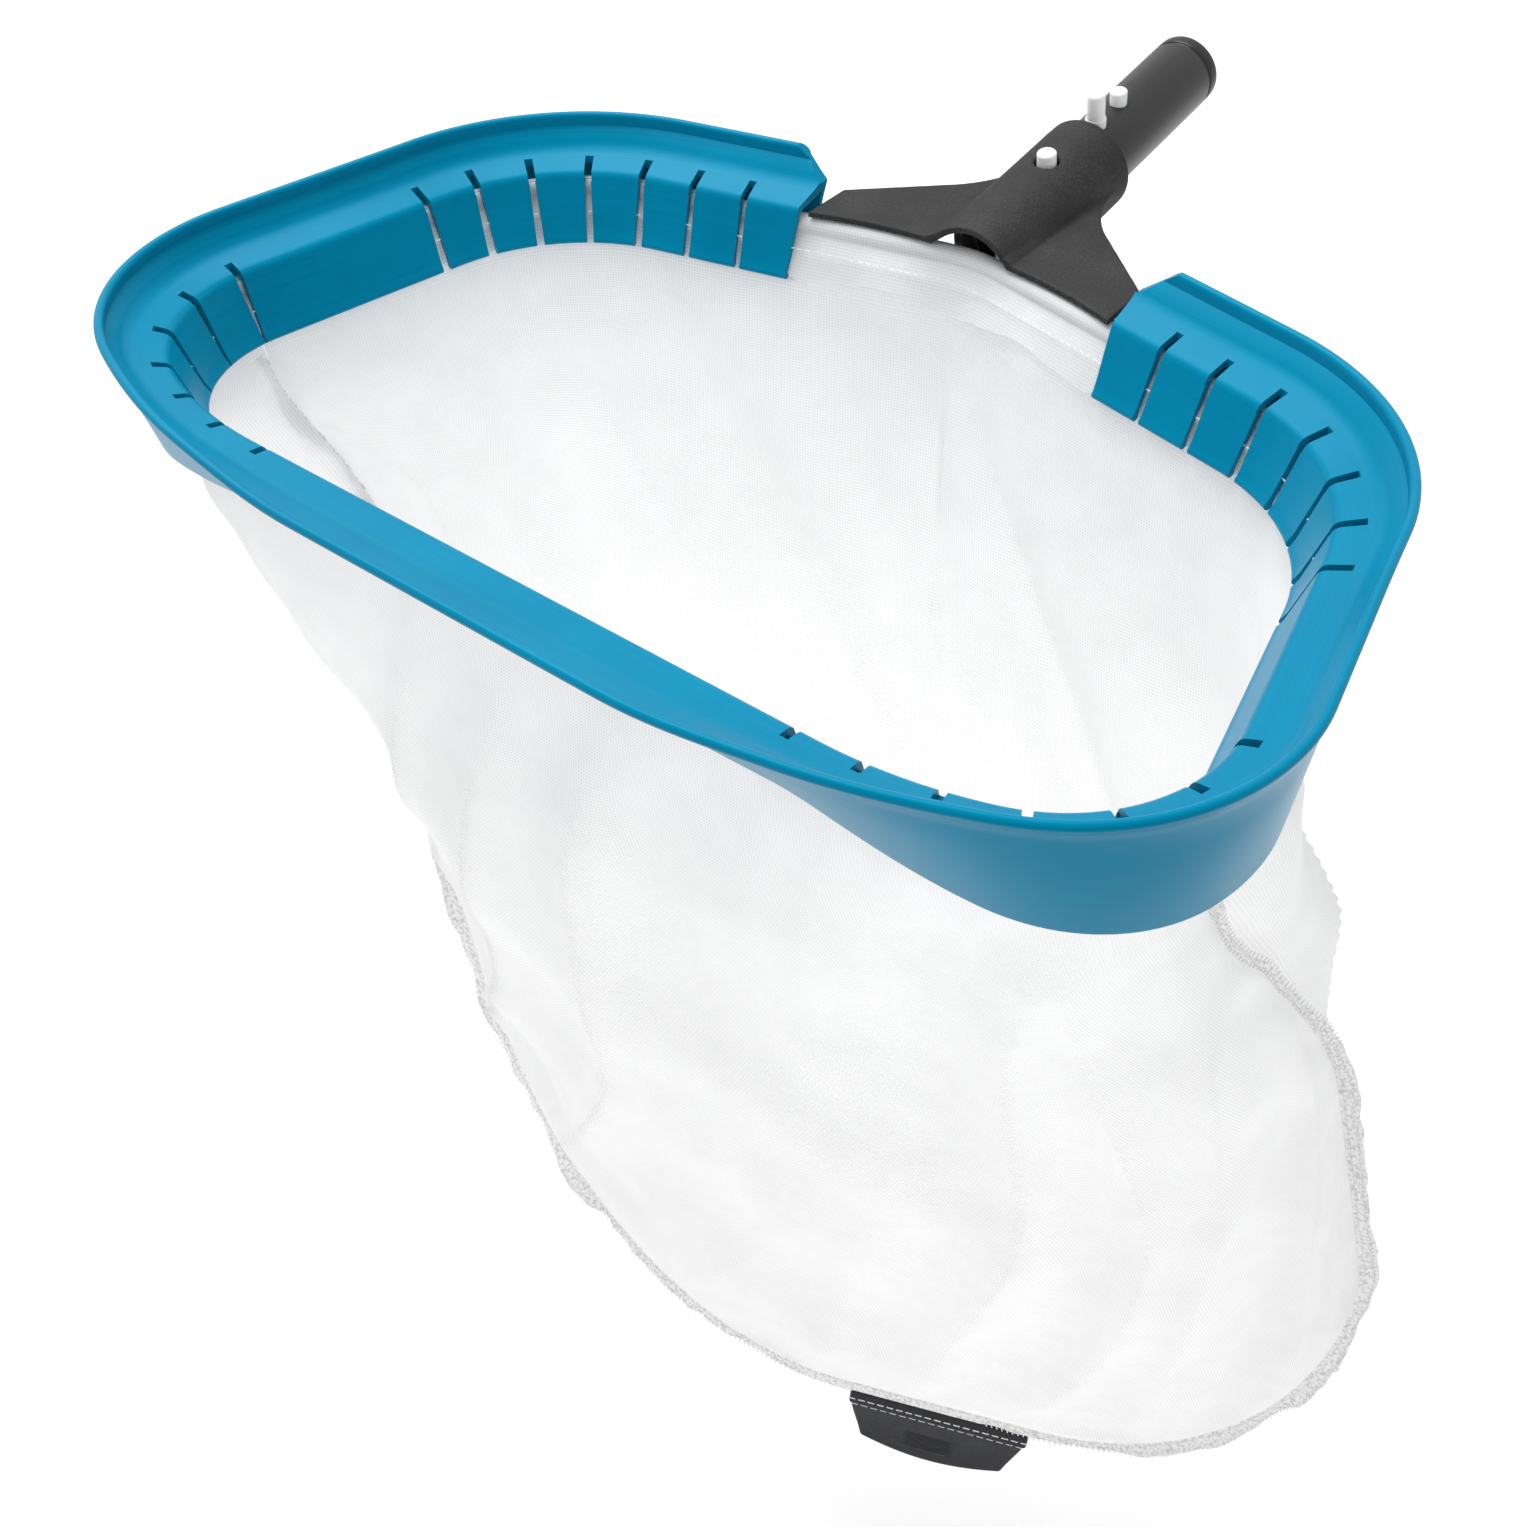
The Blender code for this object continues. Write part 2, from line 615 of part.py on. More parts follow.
def yoke():
    """The moulded yoke: draped wings joined to a bored collar, with bosses under the wings."""
    top_z = ROD_Z + HEM_R + GAP + PLATE
    columns, rows = 26, 12
    grids = []
    for radius, plate_z in ((COLLAR_R, top_z), (COLLAR_R - PLATE, top_z - PLATE)):
        grid = []
        for j in range(rows + 1):
            y = -90 * MM + 94 * MM * j / rows
            row = []
            for i in range(columns + 1):
                x = 70 * MM * (i / (columns / 2) - 1)
                row.append(Vector((x, y, drape(x, y, radius, plate_z))))
            grid.append(row)
        grids.append(grid)
    bm = bmesh.new()
    top, under = [[[bm.verts.new(p) for p in row] for row in grid] for grid in grids]
    for grid in (top, under):
        for low, high in zip(grid, grid[1:]):
            for i in range(columns):
                bm.faces.new((low[i], low[i + 1], high[i + 1], high[i]))
    edges = [
        ([row[0] for row in top], [row[0] for row in under]),
        ([row[-1] for row in top], [row[-1] for row in under]),
        (top[0], under[0]),
        (top[-1], under[-1]),
    ]
    for a, b in edges:
        for i in range(len(a) - 1):
            bm.faces.new((a[i], a[i + 1], b[i + 1], b[i]))
    bmesh.ops.triangulate(bm, faces=bm.faces)
    body = finished(bm, "yoke", "yoke nylon")
    combine(body, prism(yoke_outline(), -60 * MM, 60 * MM, "outline", "yoke nylon"), "INTERSECT")
    for side in (-1, 1):
        for x in SCREW_X:
            point = screw_place(side * x)
            pilot = SCREW_R + 0.1 * MM
            boss = turned(
                [(7 * MM, pilot), (0, pilot), (0, BOSS_R), (top_z - 1 * MM - CLAMP_TOP_Z - GAP, BOSS_R)],
                point + Vector((0, 0, CLAMP_TOP_Z + GAP)), (0, 0, 1), "boss", "yoke nylon", 12)
            combine(body, boss, "UNION")
    collar = turned(
        [(0, COLLAR_R), (COLLAR_TO - COLLAR_FROM - 1.2 * MM, COLLAR_R),
         (COLLAR_TO - COLLAR_FROM, COLLAR_R - 1.2 * MM)],
        AXIS * COLLAR_FROM, AXIS, "collar", "yoke nylon", 32)
    combine(body, collar, "UNION")
    bore = turned([(0, BORE_R), (140 * MM, BORE_R)], AXIS * -100 * MM, AXIS, "bore", "yoke nylon", 32)
    combine(body, bore)
    for side in (-1, 1):
        hole = turned(
            [(0, BUTTON_R + GAP), (14 * MM, BUTTON_R + GAP)],
            handle_point(COLLAR_BUTTON_AT, side * 10 * MM), ACROSS * side, "hole", "yoke nylon", 20)
        combine(body, hole)
    return body


def screw_place(x):
    """Where a screw stands on plan: behind the rod."""
    s = edge_length_to_x(abs(x), ROD_OFFSET + SCREW_BEHIND_ROD)
    point = from_edge(s, ROD_OFFSET + SCREW_BEHIND_ROD, 0)
    return Vector((math.copysign(point.x, x), point.y, 0))


def clamp_plate():
    """The plate that the screws pull up under the hem, bowed like the yoke's front edge."""
    front, back = [], []
    for k in range(13):
        x = (WING_END_X - 3 * MM) * (k / 6 - 1)
        s = edge_length_to_x(abs(x), ROD_OFFSET)
        edge = from_edge(s, ROD_OFFSET, 0)
        front.append((x, edge.y + 4.5 * MM))
        back.append((x, edge.y + 15.5 * MM))
    plate = prism(front + back[::-1], CLAMP_TOP_Z - CLAMP_THICK, CLAMP_TOP_Z, "clamp_plate", "yoke nylon")
    notch_half, notch_y = COLLAR_R + 1 * MM, COLLAR_FROM - 1 * MM
    notch = [(-notch_half, notch_y), (notch_half, notch_y), (notch_half, 0), (-notch_half, 0)]
    combine(plate, prism(notch, -40 * MM, 0, "notch", "yoke nylon"))
    for side in (-1, 1):
        for x in SCREW_X:
            point = screw_place(side * x) + Vector((0, 0, CLAMP_TOP_Z - 2 * CLAMP_THICK))
            hole = turned([(0, SCREW_R + GAP), (4 * CLAMP_THICK, SCREW_R + GAP)],
                          point, (0, 0, 1), "hole", "yoke nylon", 12)
            combine(plate, hole)
    return plate


def clamp_screw(number, x):
    """A pan-head screw up into its boss, with a cross slot."""
    head_z = CLAMP_TOP_Z - CLAMP_THICK - 0.1 * MM
    point = screw_place(x) + Vector((0, 0, head_z))
    profile = [(-10 * MM, SCREW_R - 0.2 * MM), (0, SCREW_R - 0.2 * MM), (0.01 * MM, SCREW_HEAD_R),
               (0.6 * SCREW_HEAD, SCREW_HEAD_R), (SCREW_HEAD, 0.6 * SCREW_HEAD_R)]
    name = f"clamp_screw_{number}"
    screw = turned(profile, point, (0, 0, -1), name, "screw steel", 16)
    for turn in (0, 90):
        half_long, half_wide = (2 * MM, 0.4 * MM) if turn == 0 else (0.4 * MM, 2 * MM)
        corners = [(-half_long, -half_wide), (half_long, -half_wide),
                   (half_long, half_wide), (-half_long, half_wide)]
        base = [(point.x + a, point.y + b) for a, b in corners]
        foot_z = head_z - SCREW_HEAD
        cut = prism(base, foot_z - MM, foot_z + 1.1 * MM, "slot", "screw steel")
        combine(screw, cut)
    return screw


# The handle tube and its spring clips

def handle_tube():
    """The tube, grooved and round-shouldered at its outer end, with holes for the pins and buttons."""
    end = TUBE_TO
    profile = [
        (0, TUBE_R), (end - 7.0 * MM - TUBE_FROM, TUBE_R), (end - 6.6 * MM - TUBE_FROM, TUBE_R - 0.7 * MM),
        (end - 5.8 * MM - TUBE_FROM, TUBE_R - 0.7 * MM), (end - 5.4 * MM - TUBE_FROM, TUBE_R - 0.1 * MM),
        (end - 0.9 * MM - TUBE_FROM, TUBE_R - 0.3 * MM), (end - 0.2 * MM - TUBE_FROM, TUBE_R - 0.6 * MM),
        (end - TUBE_FROM, TUBE_R - 1.0 * MM),
    ]
    tube = turned(profile, AXIS * TUBE_FROM, AXIS, "handle_tube", "tube plastic", 32)
    bore = turned([(0, TUBE_BORE_R), (160 * MM, TUBE_BORE_R)],
                  AXIS * (TUBE_FROM - 10 * MM), AXIS, "bore", "tube plastic", 32)
    combine(tube, bore)
    for side in (-1, 1):
        pins = ((COLLAR_BUTTON_AT, BUTTON_R), (FINGER_PIN_AT, FINGER_FOOT_R), (LOCK_PIN_AT, LOCK_R))
        for at, radius in pins:
            hole = turned([(0, radius + GAP), (9 * MM, radius + GAP)],
                          handle_point(at, side * 8 * MM), ACROSS * side, "hole", "tube plastic", 20)
            combine(tube, hole)
    return tube


def spring_arm(name, bow_at, to, side, pins):
    """A flat spring arm under the tube's wall with its pins. Its origin lies where it leaves the bow."""
    half_wide, half_thick = ARM_WIDTH / 2, ARM_THICK / 2
    rings = []
    for along in (bow_at + 1.6 * MM, to):
        rings.append([
            handle_point(along, side * (ARM_MID_R + y), x)
            for x, y in ((-half_wide, -half_thick), (half_wide, -half_thick),
                         (half_wide - 1.6 * MM, half_thick), (1.6 * MM - half_wide, half_thick))
        ])
    arm = lofted(rings, name, "pin nylon")
    for at, profile in pins:
        foot = handle_point(at, side * (ARM_MID_R - 0.4 * MM))
        rise = [(height - ARM_MID_R + 0.4 * MM, radius) for height, radius in profile]
        combine(arm, turned(rise, foot, ACROSS * side, "pin", "pin nylon", 18), "UNION")
    root = handle_point(bow_at, side * ARM_MID_R)
    for vertex in arm.data.vertices:
        vertex.co -= root
    arm.location = root
    return arm


def button_profile(radius, top):
    """A plain pin with a domed end."""
    return ((ARM_MID_R - 0.4 * MM, radius), (top - 0.9 * MM, radius),
            (top - 0.3 * MM, 0.84 * radius), (top, 0.45 * radius))


def finger_profile():
    """The tall pin: a collar at its foot, a slight taper and a domed end."""
    step = 17.2 * MM
    return ((ARM_MID_R - 0.4 * MM, FINGER_FOOT_R), (step, FINGER_FOOT_R),
            (step + 0.5 * MM, FINGER_FOOT_R - 0.5 * MM),
            (FINGER_TOP - 2 * MM, FINGER_TOP_R), (FINGER_TOP - 0.6 * MM, 0.8 * FINGER_TOP_R),
            (FINGER_TOP, 0.45 * FINGER_TOP_R))


def clip_base(name, bow_at, reach_back):
    """The bow of a spring clip: a plug across the tube that both arms grow from."""
    back, front = bow_at - reach_back, bow_at + 1.3 * MM
    low = [(-1, back), (1, back), (1, front), (-1, front)]
    outer = TUBE_BORE_R - 0.3 * MM
    rings = []
    for side in (-1, 1):
        half = 4 * MM * side
        reach = math.sqrt(outer ** 2 - (4 * MM) ** 2) - 0.1 * MM
        rings.append([handle_point(along, sign * reach, half) for sign, along in low])
    base = lofted(rings, name, "pin nylon")
    hollow = [
        [handle_point(along, sign * (ARM_MID_R - 1.6 * MM), half)
         for sign, along in ((-1, bow_at - reach_back + 2.4 * MM), (1, bow_at - reach_back + 2.4 * MM),
                             (1, bow_at + 4 * MM), (-1, bow_at + 4 * MM))]
        for half in (-6 * MM, 6 * MM)
    ]
    combine(base, lofted(hollow, "hollow", "pin nylon"))
    return base


def spring_clips():
    """The collar's clip and the pole's clip, each a bow with an upper and a lower arm."""
    clip_base("collar_clip", COLLAR_BOW_AT, 5.5 * MM)
    clip_base("pole_clip", POLE_BOW_AT, 5.5 * MM)
    for side, word in ((1, "upper"), (-1, "lower")):
        spring_arm(f"{word}_collar_button", COLLAR_BOW_AT, COLLAR_BUTTON_AT + 5 * MM, side,
                   ((COLLAR_BUTTON_AT, button_profile(BUTTON_R, BUTTON_TOP)),))
        spring_arm(f"{word}_pole_arm", POLE_BOW_AT, LOCK_PIN_AT + 5 * MM, side,
                   ((FINGER_PIN_AT, finger_profile()), (LOCK_PIN_AT, button_profile(LOCK_R, LOCK_TOP))))


# Build

def clear_scene():
    """An empty scene to start from."""
    for old in list(bpy.data.objects):
        bpy.data.objects.remove(old)


def main():
    clear_scene()
    scoop_rim()
    frame_rod()
    hem_sleeve()
    bag_panel("bag_front_panel", -SEAM_AT + 0.004, SEAM_AT - 0.004, 24)
    bag_panel("bag_back_panel", SEAM_AT + 0.004, 2 - SEAM_AT - 0.004, 26)
    side_seam(1, "side_seam_right")
    side_seam(-1, "side_seam_left")
    bottom_seam()
    pull_tab()
    yoke()
    clamp_plate()
    for number, x in enumerate((-SCREW_X[1], -SCREW_X[0], SCREW_X[0], SCREW_X[1]), 1):
        clamp_screw(number, x)
    handle_tube()
    spring_clips()


main()
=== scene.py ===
# %% [markdown]
# # A leaf skimmer net
# This lesson dresses a measured model of a leaf skimmer net: a deep mesh bag that hangs from a
# D-shaped plastic scoop, with a yoke, a short handle tube and a pair of spring clips. The frame
# holds the measured solids and their joints. Every piece made here rides on one of its bodies.

import math

import bmesh
import bpy
import numpy as np
from mathutils import Matrix, Vector, noise


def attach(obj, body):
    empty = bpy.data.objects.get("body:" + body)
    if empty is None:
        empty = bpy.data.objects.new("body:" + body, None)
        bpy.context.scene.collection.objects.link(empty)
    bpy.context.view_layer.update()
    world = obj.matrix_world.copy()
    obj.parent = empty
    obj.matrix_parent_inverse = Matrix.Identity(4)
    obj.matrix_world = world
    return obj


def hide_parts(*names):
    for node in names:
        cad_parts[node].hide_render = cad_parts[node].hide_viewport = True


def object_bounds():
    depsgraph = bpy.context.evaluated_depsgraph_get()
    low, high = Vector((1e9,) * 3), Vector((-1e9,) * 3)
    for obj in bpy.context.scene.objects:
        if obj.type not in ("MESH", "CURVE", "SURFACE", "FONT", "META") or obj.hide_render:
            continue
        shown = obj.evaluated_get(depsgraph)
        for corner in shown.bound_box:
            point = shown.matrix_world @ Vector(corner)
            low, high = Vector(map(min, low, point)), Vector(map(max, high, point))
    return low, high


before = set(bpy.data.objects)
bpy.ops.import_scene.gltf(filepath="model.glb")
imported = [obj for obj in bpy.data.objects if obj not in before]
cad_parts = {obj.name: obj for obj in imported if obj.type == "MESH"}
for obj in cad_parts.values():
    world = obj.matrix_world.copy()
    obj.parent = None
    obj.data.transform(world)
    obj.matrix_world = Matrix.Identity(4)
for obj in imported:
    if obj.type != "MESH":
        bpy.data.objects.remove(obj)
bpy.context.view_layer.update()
print("solids:", len(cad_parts))

# %% [markdown]
# ## Colours and nodes
# Colours are given as the hex values seen on a calibrated screen. Cycles works in linear light, so
# one function turns hex to linear. The others each add a node with its settings and its links,
# which keeps every material below down to what makes it that material.

# %% Colour and node helpers
MM = 0.001


def linear(code):
    """The linear RGBA of an sRGB hex colour."""
    parts = [int(code[i:i + 2], 16) / 255 for i in (1, 3, 5)]
    return (*[c / 12.92 if c <= 0.04045 else ((c + 0.055) / 1.055) ** 2.4 for c in parts], 1.0)


def add(tree, kind, inputs=None, **settings):
    """A new node of that kind. An input's value is a number, a colour or another node's output."""
    made = tree.nodes.new(kind)
    for key, value in settings.items():
        setattr(made, key, value)
    for key, value in (inputs or {}).items():
        if isinstance(value, bpy.types.NodeSocket):
            tree.links.new(value, made.inputs[key])
        else:
            made.inputs[key].default_value = value
    return made


def new_material(name):
    """An empty node material, its tree and its object's coordinates."""
    made = bpy.data.materials.new(name)
    made.use_nodes = True
    made.node_tree.nodes.clear()
    return made, made.node_tree, add(made.node_tree, "ShaderNodeTexCoord").outputs["Object"]


def shaded(made, shader):
    """The material, with that shader as its surface."""
    add(made.node_tree, "ShaderNodeOutputMaterial", {"Surface": shader.outputs[0]})
    return made


def principled(made, inputs):
    """The material, with a Principled shader of those inputs as its surface."""
    return shaded(made, add(made.node_tree, "ShaderNodeBsdfPrincipled", inputs))


def cloud(tree, where, scale, detail, roughness=0.5):
    """Smooth noise, with that many cells to the metre."""
    return add(tree, "ShaderNodeTexNoise", {
        "Vector": where, "Scale": scale, "Detail": detail, "Roughness": roughness}).outputs["Fac"]


def cells(tree, where, scale):
    """A cell pattern, 0 in the middle of each cell."""
    return add(tree, "ShaderNodeTexVoronoi", {"Vector": where, "Scale": scale}).outputs["Distance"]


def mixed(tree, share, first, second):
    """Two patterns in one, with that share of the second."""
    return add(tree, "ShaderNodeMix", {0: share, 2: first, 3: second}, data_type="FLOAT").outputs[0]


def bumped(tree, height, strength, depth):
    """A surface normal raised by a pattern."""
    return add(tree, "ShaderNodeBump", {
        "Height": height, "Strength": strength, "Distance": depth}).outputs["Normal"]


def ramp(tree, factor, stops):
    """A colour ramp through (position, hex) stops."""
    made = add(tree, "ShaderNodeValToRGB", {"Fac": factor})
    elements = made.color_ramp.elements
    while len(elements) < len(stops):
        elements.new(0.5)
    for element, (position, code) in zip(elements, stops):
        element.position = position
        element.color = linear(code)
    return made.outputs["Color"]


def spread(tree, value, low, high):
    """A 0 to 1 value carried onto the range from low to high."""
    return add(tree, "ShaderNodeMapRange", {
        "Value": value, "To Min": low, "To Max": high}).outputs["Result"]


def maths(tree, operation, *values):
    """One step of arithmetic on patterns or numbers."""
    return add(tree, "ShaderNodeMath", dict(enumerate(values)), operation=operation).outputs[0]


print("blue in linear light:", [round(c, 3) for c in linear("#0087B0")])

# %% [markdown]
# ## Plastics
# The scoop is flexible polypropylene pushed through a die, so its gloss is drawn out into faint
# lines along its length, and its colour is the same all through. The pattern reads the piece's
# own UV map, in metres along and across the strip, so the lines follow every bend.

# %% Extruded polypropylene
def extruded_polypropylene():
    """Satin blue strip with die lines along it."""
    made, tree, where = new_material("extruded_polypropylene")
    uv = add(tree, "ShaderNodeUVMap", uv_map="strip").outputs["UV"]
    lines_at = add(tree, "ShaderNodeMapping", {"Vector": uv, "Scale": (6, 1500, 1)}).outputs["Vector"]
    lines = cloud(tree, lines_at, 1, 3)
    tone = mixed(tree, 0.5, lines, cloud(tree, where, 22, 4))
    raised = mixed(tree, 0.25, lines, cloud(tree, where, 1600, 2))
    return principled(made, {
        "Base Color": ramp(tree, tone, [(0.3, "#007598"), (0.7, "#0082A6")]),
        "Roughness": spread(tree, tone, 0.28, 0.4), "Normal": bumped(tree, raised, 0.35, 0.08 * MM),
        "IOR": 1.49, "Specular IOR Level": 0.22, "Specular Tint": linear("#4CBCDC"),
    })


RIM_BLUE = extruded_polypropylene()
print("made", RIM_BLUE.name)

# %% [markdown]
# The yoke is nylon filled with short glass fibre. The fibres come to the surface as a dull, sandy
# grain of about a millimetre, grey over black. The handle tube is the same black without the
# glass, so it is smoother and takes a broad soft highlight.

# %% Glass-filled nylon and smooth black nylon
def moulded_black(name, stops, low_rough, high_rough, grain_mm, depth_mm):
    """A moulded black plastic whose grain has that size and depth."""
    made, tree, where = new_material(name)
    grain = cloud(tree, where, 1 / (grain_mm * MM), 4, 0.7)
    tone = mixed(tree, 0.35, grain, cloud(tree, where, 45, 3))
    return principled(made, {
        "Base Color": ramp(tree, tone, stops), "Roughness": spread(tree, tone, low_rough, high_rough),
        "Normal": bumped(tree, grain, 0.8, depth_mm * MM), "IOR": 1.53, "Specular IOR Level": 0.35,
    })


YOKE_BLACK = moulded_black(
    "glass_filled_nylon", [(0.36, "#141414"), (0.5, "#1F1F1F"), (0.64, "#333333")], 0.6, 0.8, 0.9, 0.12)
TUBE_BLACK = moulded_black(
    "smooth_black_nylon", [(0.3, "#1C1C1C"), (0.7, "#262627")], 0.28, 0.4, 0.7, 0.02)
print("made", YOKE_BLACK.name, TUBE_BLACK.name)

# %% [markdown]
# The pins are unfilled white nylon, which lets a little light in, so its shadows are soft. The tab
# is a soft charcoal vinyl with a leathery grain. The thread is shiny white polyester.

# %% White nylon, vinyl and thread
def white_nylon():
    """Waxy white nylon with a trace of flow in its gloss."""
    made, tree, where = new_material("white_nylon")
    flow = cloud(tree, where, 300, 3)
    return principled(made, {
        "Base Color": ramp(tree, flow, [(0.3, "#ECECEA"), (0.7, "#F6F6F5")]),
        "Roughness": spread(tree, flow, 0.3, 0.45), "Normal": bumped(tree, flow, 0.2, 0.05 * MM),
        "IOR": 1.53, "Subsurface Weight": 0.2, "Subsurface Scale": 2 * MM,
    })


def charcoal_vinyl():
    """Soft vinyl with a pebbled grain a little under a millimetre across."""
    made, tree, where = new_material("charcoal_vinyl")
    pebbles = cells(tree, where, 1300)
    return principled(made, {
        "Base Color": ramp(tree, cloud(tree, where, 90, 4), [(0.3, "#14151A"), (0.7, "#1E2027")]),
        "Roughness": spread(tree, pebbles, 0.5, 0.7), "Normal": bumped(tree, pebbles, 0.6, 0.08 * MM),
        "IOR": 1.52, "Specular IOR Level": 0.3,
    })


def polyester_thread():
    """White thread, a little darker in its twist."""
    made, tree, where = new_material("polyester_thread")
    twist = cloud(tree, where, 2500, 1)
    return principled(made, {
        "Base Color": ramp(tree, twist, [(0.3, "#D9D9D6"), (0.7, "#FAFAF8")]),
        "Roughness": spread(tree, twist, 0.45, 0.6), "IOR": 1.54,
    })


PIN_WHITE, TAB_VINYL, THREAD = white_nylon(), charcoal_vinyl(), polyester_thread()
print("made", PIN_WHITE.name, TAB_VINYL.name, THREAD.name)

# %% [markdown]
# ## Cloth
# The bag is a fine woven polyester mesh. Light passes between its threads and glows through them,
# so one layer looks like a pale veil and two layers look nearly solid. The real threads lie about
# 0.3 mm apart, too fine to draw, so the weave is drawn every 1.2 mm with little contrast.

# %% Polyester mesh
THREAD_PITCH = 1.2 * MM


def woven(tree, uv, pitch):
    """How much thread there is at a place: 1 on a thread and 0 in the middle of a hole."""
    at = add(tree, "ShaderNodeMapping", {"Vector": uv, "Scale": (1 / pitch, 1 / pitch, 1)})
    parts = add(tree, "ShaderNodeSeparateXYZ", {"Vector": at.outputs["Vector"]}).outputs
    waves = [maths(tree, "COSINE", maths(tree, "MULTIPLY", parts[axis], math.tau)) for axis in "XY"]
    return maths(tree, "MAXIMUM", *[maths(tree, "MULTIPLY_ADD", wave, 0.5, 0.5) for wave in waves])


def mesh_cloth(name, solid, stops, clear_low, clear_high):
    """White mesh cloth. Solid is the share of the light it turns back rather than lets glow through."""
    made, tree, where = new_material(name)
    thread = woven(tree, add(tree, "ShaderNodeUVMap", uv_map="cloth").outputs["UV"], THREAD_PITCH)
    slub = cloud(tree, where, 60, 5)
    colour = ramp(tree, mixed(tree, 0.45, slub, thread), stops)
    normal = bumped(tree, thread, 0.25, 0.15 * MM)
    face = add(tree, "ShaderNodeBsdfPrincipled", {
        "Base Color": colour, "Roughness": spread(tree, slub, 0.75, 0.9), "IOR": 1.5,
        "Normal": normal, "Sheen Weight": 0.15,
    })
    glow = add(tree, "ShaderNodeBsdfTranslucent", {"Color": colour, "Normal": normal})
    lit = add(tree, "ShaderNodeMixShader", {0: solid, 1: glow.outputs[0], 2: face.outputs[0]})
    hole = add(tree, "ShaderNodeBsdfTransparent")
    cover = spread(tree, thread, 1 - clear_high, 1 - clear_low)
    return shaded(made, add(tree, "ShaderNodeMixShader", {0: cover, 1: hole.outputs[0], 2: lit.outputs[0]}))


BAG_MESH = mesh_cloth("polyester_mesh", 0.62, [(0.2, "#ECECEC"), (0.8, "#FAFAFA")], 0.05, 0.2)
# The hem's colour stops are darker than the bag's: painted shade, for the shade the hem hangs in under the
# yoke and rod.
HEM_MESH = mesh_cloth("doubled_polyester_mesh_painted_shade", 0.75, [(0.2, "#E4E4E4"), (0.8, "#F6F6F6")], 0.0, 0.05)
print("made", BAG_MESH.name, HEM_MESH.name)

# %% [markdown]
# The bag's edges are overlocked: a tape of looped thread binds them, white with grey flecks of painted
# shade where the loops leave gaps. A cell pattern of about 1.5 mm gives the flecks.

# %% Overlocked binding
def overlocked_binding():
    """Looped white binding flecked with grey, painted shade where its loops leave gaps."""
    made, tree, where = new_material("overlocked_binding")
    # The pattern's grey stop is painted shade in the gaps between loops. The same pattern also sets the
    # roughness and the bump.
    loop_flecks_and_gap_shade = mixed(tree, 0.5, cells(tree, where, 700), cloud(tree, where, 900, 3))
    return principled(made, {
        "Base Color": ramp(tree, loop_flecks_and_gap_shade, [(0.3, "#FDFDFD"), (0.5, "#F3F3F3"), (0.66, "#D4D4D4")]),
        "Roughness": spread(tree, loop_flecks_and_gap_shade, 0.8, 0.95), "Normal": bumped(tree, loop_flecks_and_gap_shade, 0.8, 0.4 * MM),
        "IOR": 1.5,
    })


BINDING = overlocked_binding()
print("made", BINDING.name)

# %% [markdown]
# ## Metals
# Only a little metal shows: the drawn aluminium rod inside the hem, and four zinc-plated screws
# under the yoke. Both are fully metallic, and their grain comes from how they were made.

# %% Drawn aluminium and zinc plate
def bare_metal(name, stops, low_rough, high_rough, scale):
    """A bare metal with a fine finish."""
    made, tree, where = new_material(name)
    finish = cloud(tree, where, scale, 4)
    return principled(made, {
        "Base Color": ramp(tree, finish, stops), "Roughness": spread(tree, finish, low_rough, high_rough),
        "Metallic": 1.0, "Normal": bumped(tree, finish, 0.3, 0.03 * MM),
    })


ROD_METAL = bare_metal("drawn_aluminium", [(0.3, "#BFC1C4"), (0.7, "#D2D4D7")], 0.28, 0.42, 900)
SCREW_METAL = bare_metal("zinc_plate", [(0.3, "#A6A8AB"), (0.7, "#C8CACC")], 0.25, 0.4, 1400)
print("made", ROD_METAL.name, SCREW_METAL.name)

# %% [markdown]
# ## The edge of the mouth
# Every strip on this net follows one line: the inner edge of the mouth, a D of straight and round
# stretches. Half of it is enough, because the other half mirrors it. The function walks along the
# stretches and gives a point and the direction of travel, so a strip can be carried along it.

# %% A point on the edge of the mouth
FRONT_Y = -317.5 * MM
EASE_TURN, SIDE_HEADING, ARM_HEADING = math.radians(20), math.radians(101.6), math.radians(167)
CORNER_RADIUS = 57.4 * MM
ROUND_STRETCHES = [  # (length, radius), with 0 for a straight stretch
    (115 * MM, 0),
    (150 * MM * EASE_TURN, 150 * MM),
    (CORNER_RADIUS * (SIDE_HEADING - EASE_TURN), CORNER_RADIUS),
    (81 * MM, 0),
    (80 * MM * (ARM_HEADING - SIDE_HEADING), 80 * MM),
]
CENTRE_RADIUS = 60 * MM


def walk(stretches, along):
    """The point, heading and bend after that distance along stretches that start at the front's middle."""
    x, y, heading, bend = 0.0, FRONT_Y, 0.0, 0.0
    for length, radius in stretches:
        step = min(along, length)
        if radius:
            ahead = heading + step / radius
            x += radius * (math.sin(ahead) - math.sin(heading))
            y += radius * (math.cos(heading) - math.cos(ahead))
            heading = ahead
        else:
            x += step * math.cos(heading)
            y += step * math.sin(heading)
        along -= step
        bend = 1 / radius if radius else 0.0
        if along <= 0:
            break
    return x, y, heading, bend


arm_start = walk(ROUND_STRETCHES, 1)[0]
arm_length = (arm_start - CENTRE_RADIUS * math.sin(ARM_HEADING)) / -math.cos(ARM_HEADING)
STRETCHES = ROUND_STRETCHES + [(arm_length, 0), (CENTRE_RADIUS * (math.pi - ARM_HEADING), CENTRE_RADIUS)]
HALF_EDGE = sum(length for length, _ in STRETCHES)


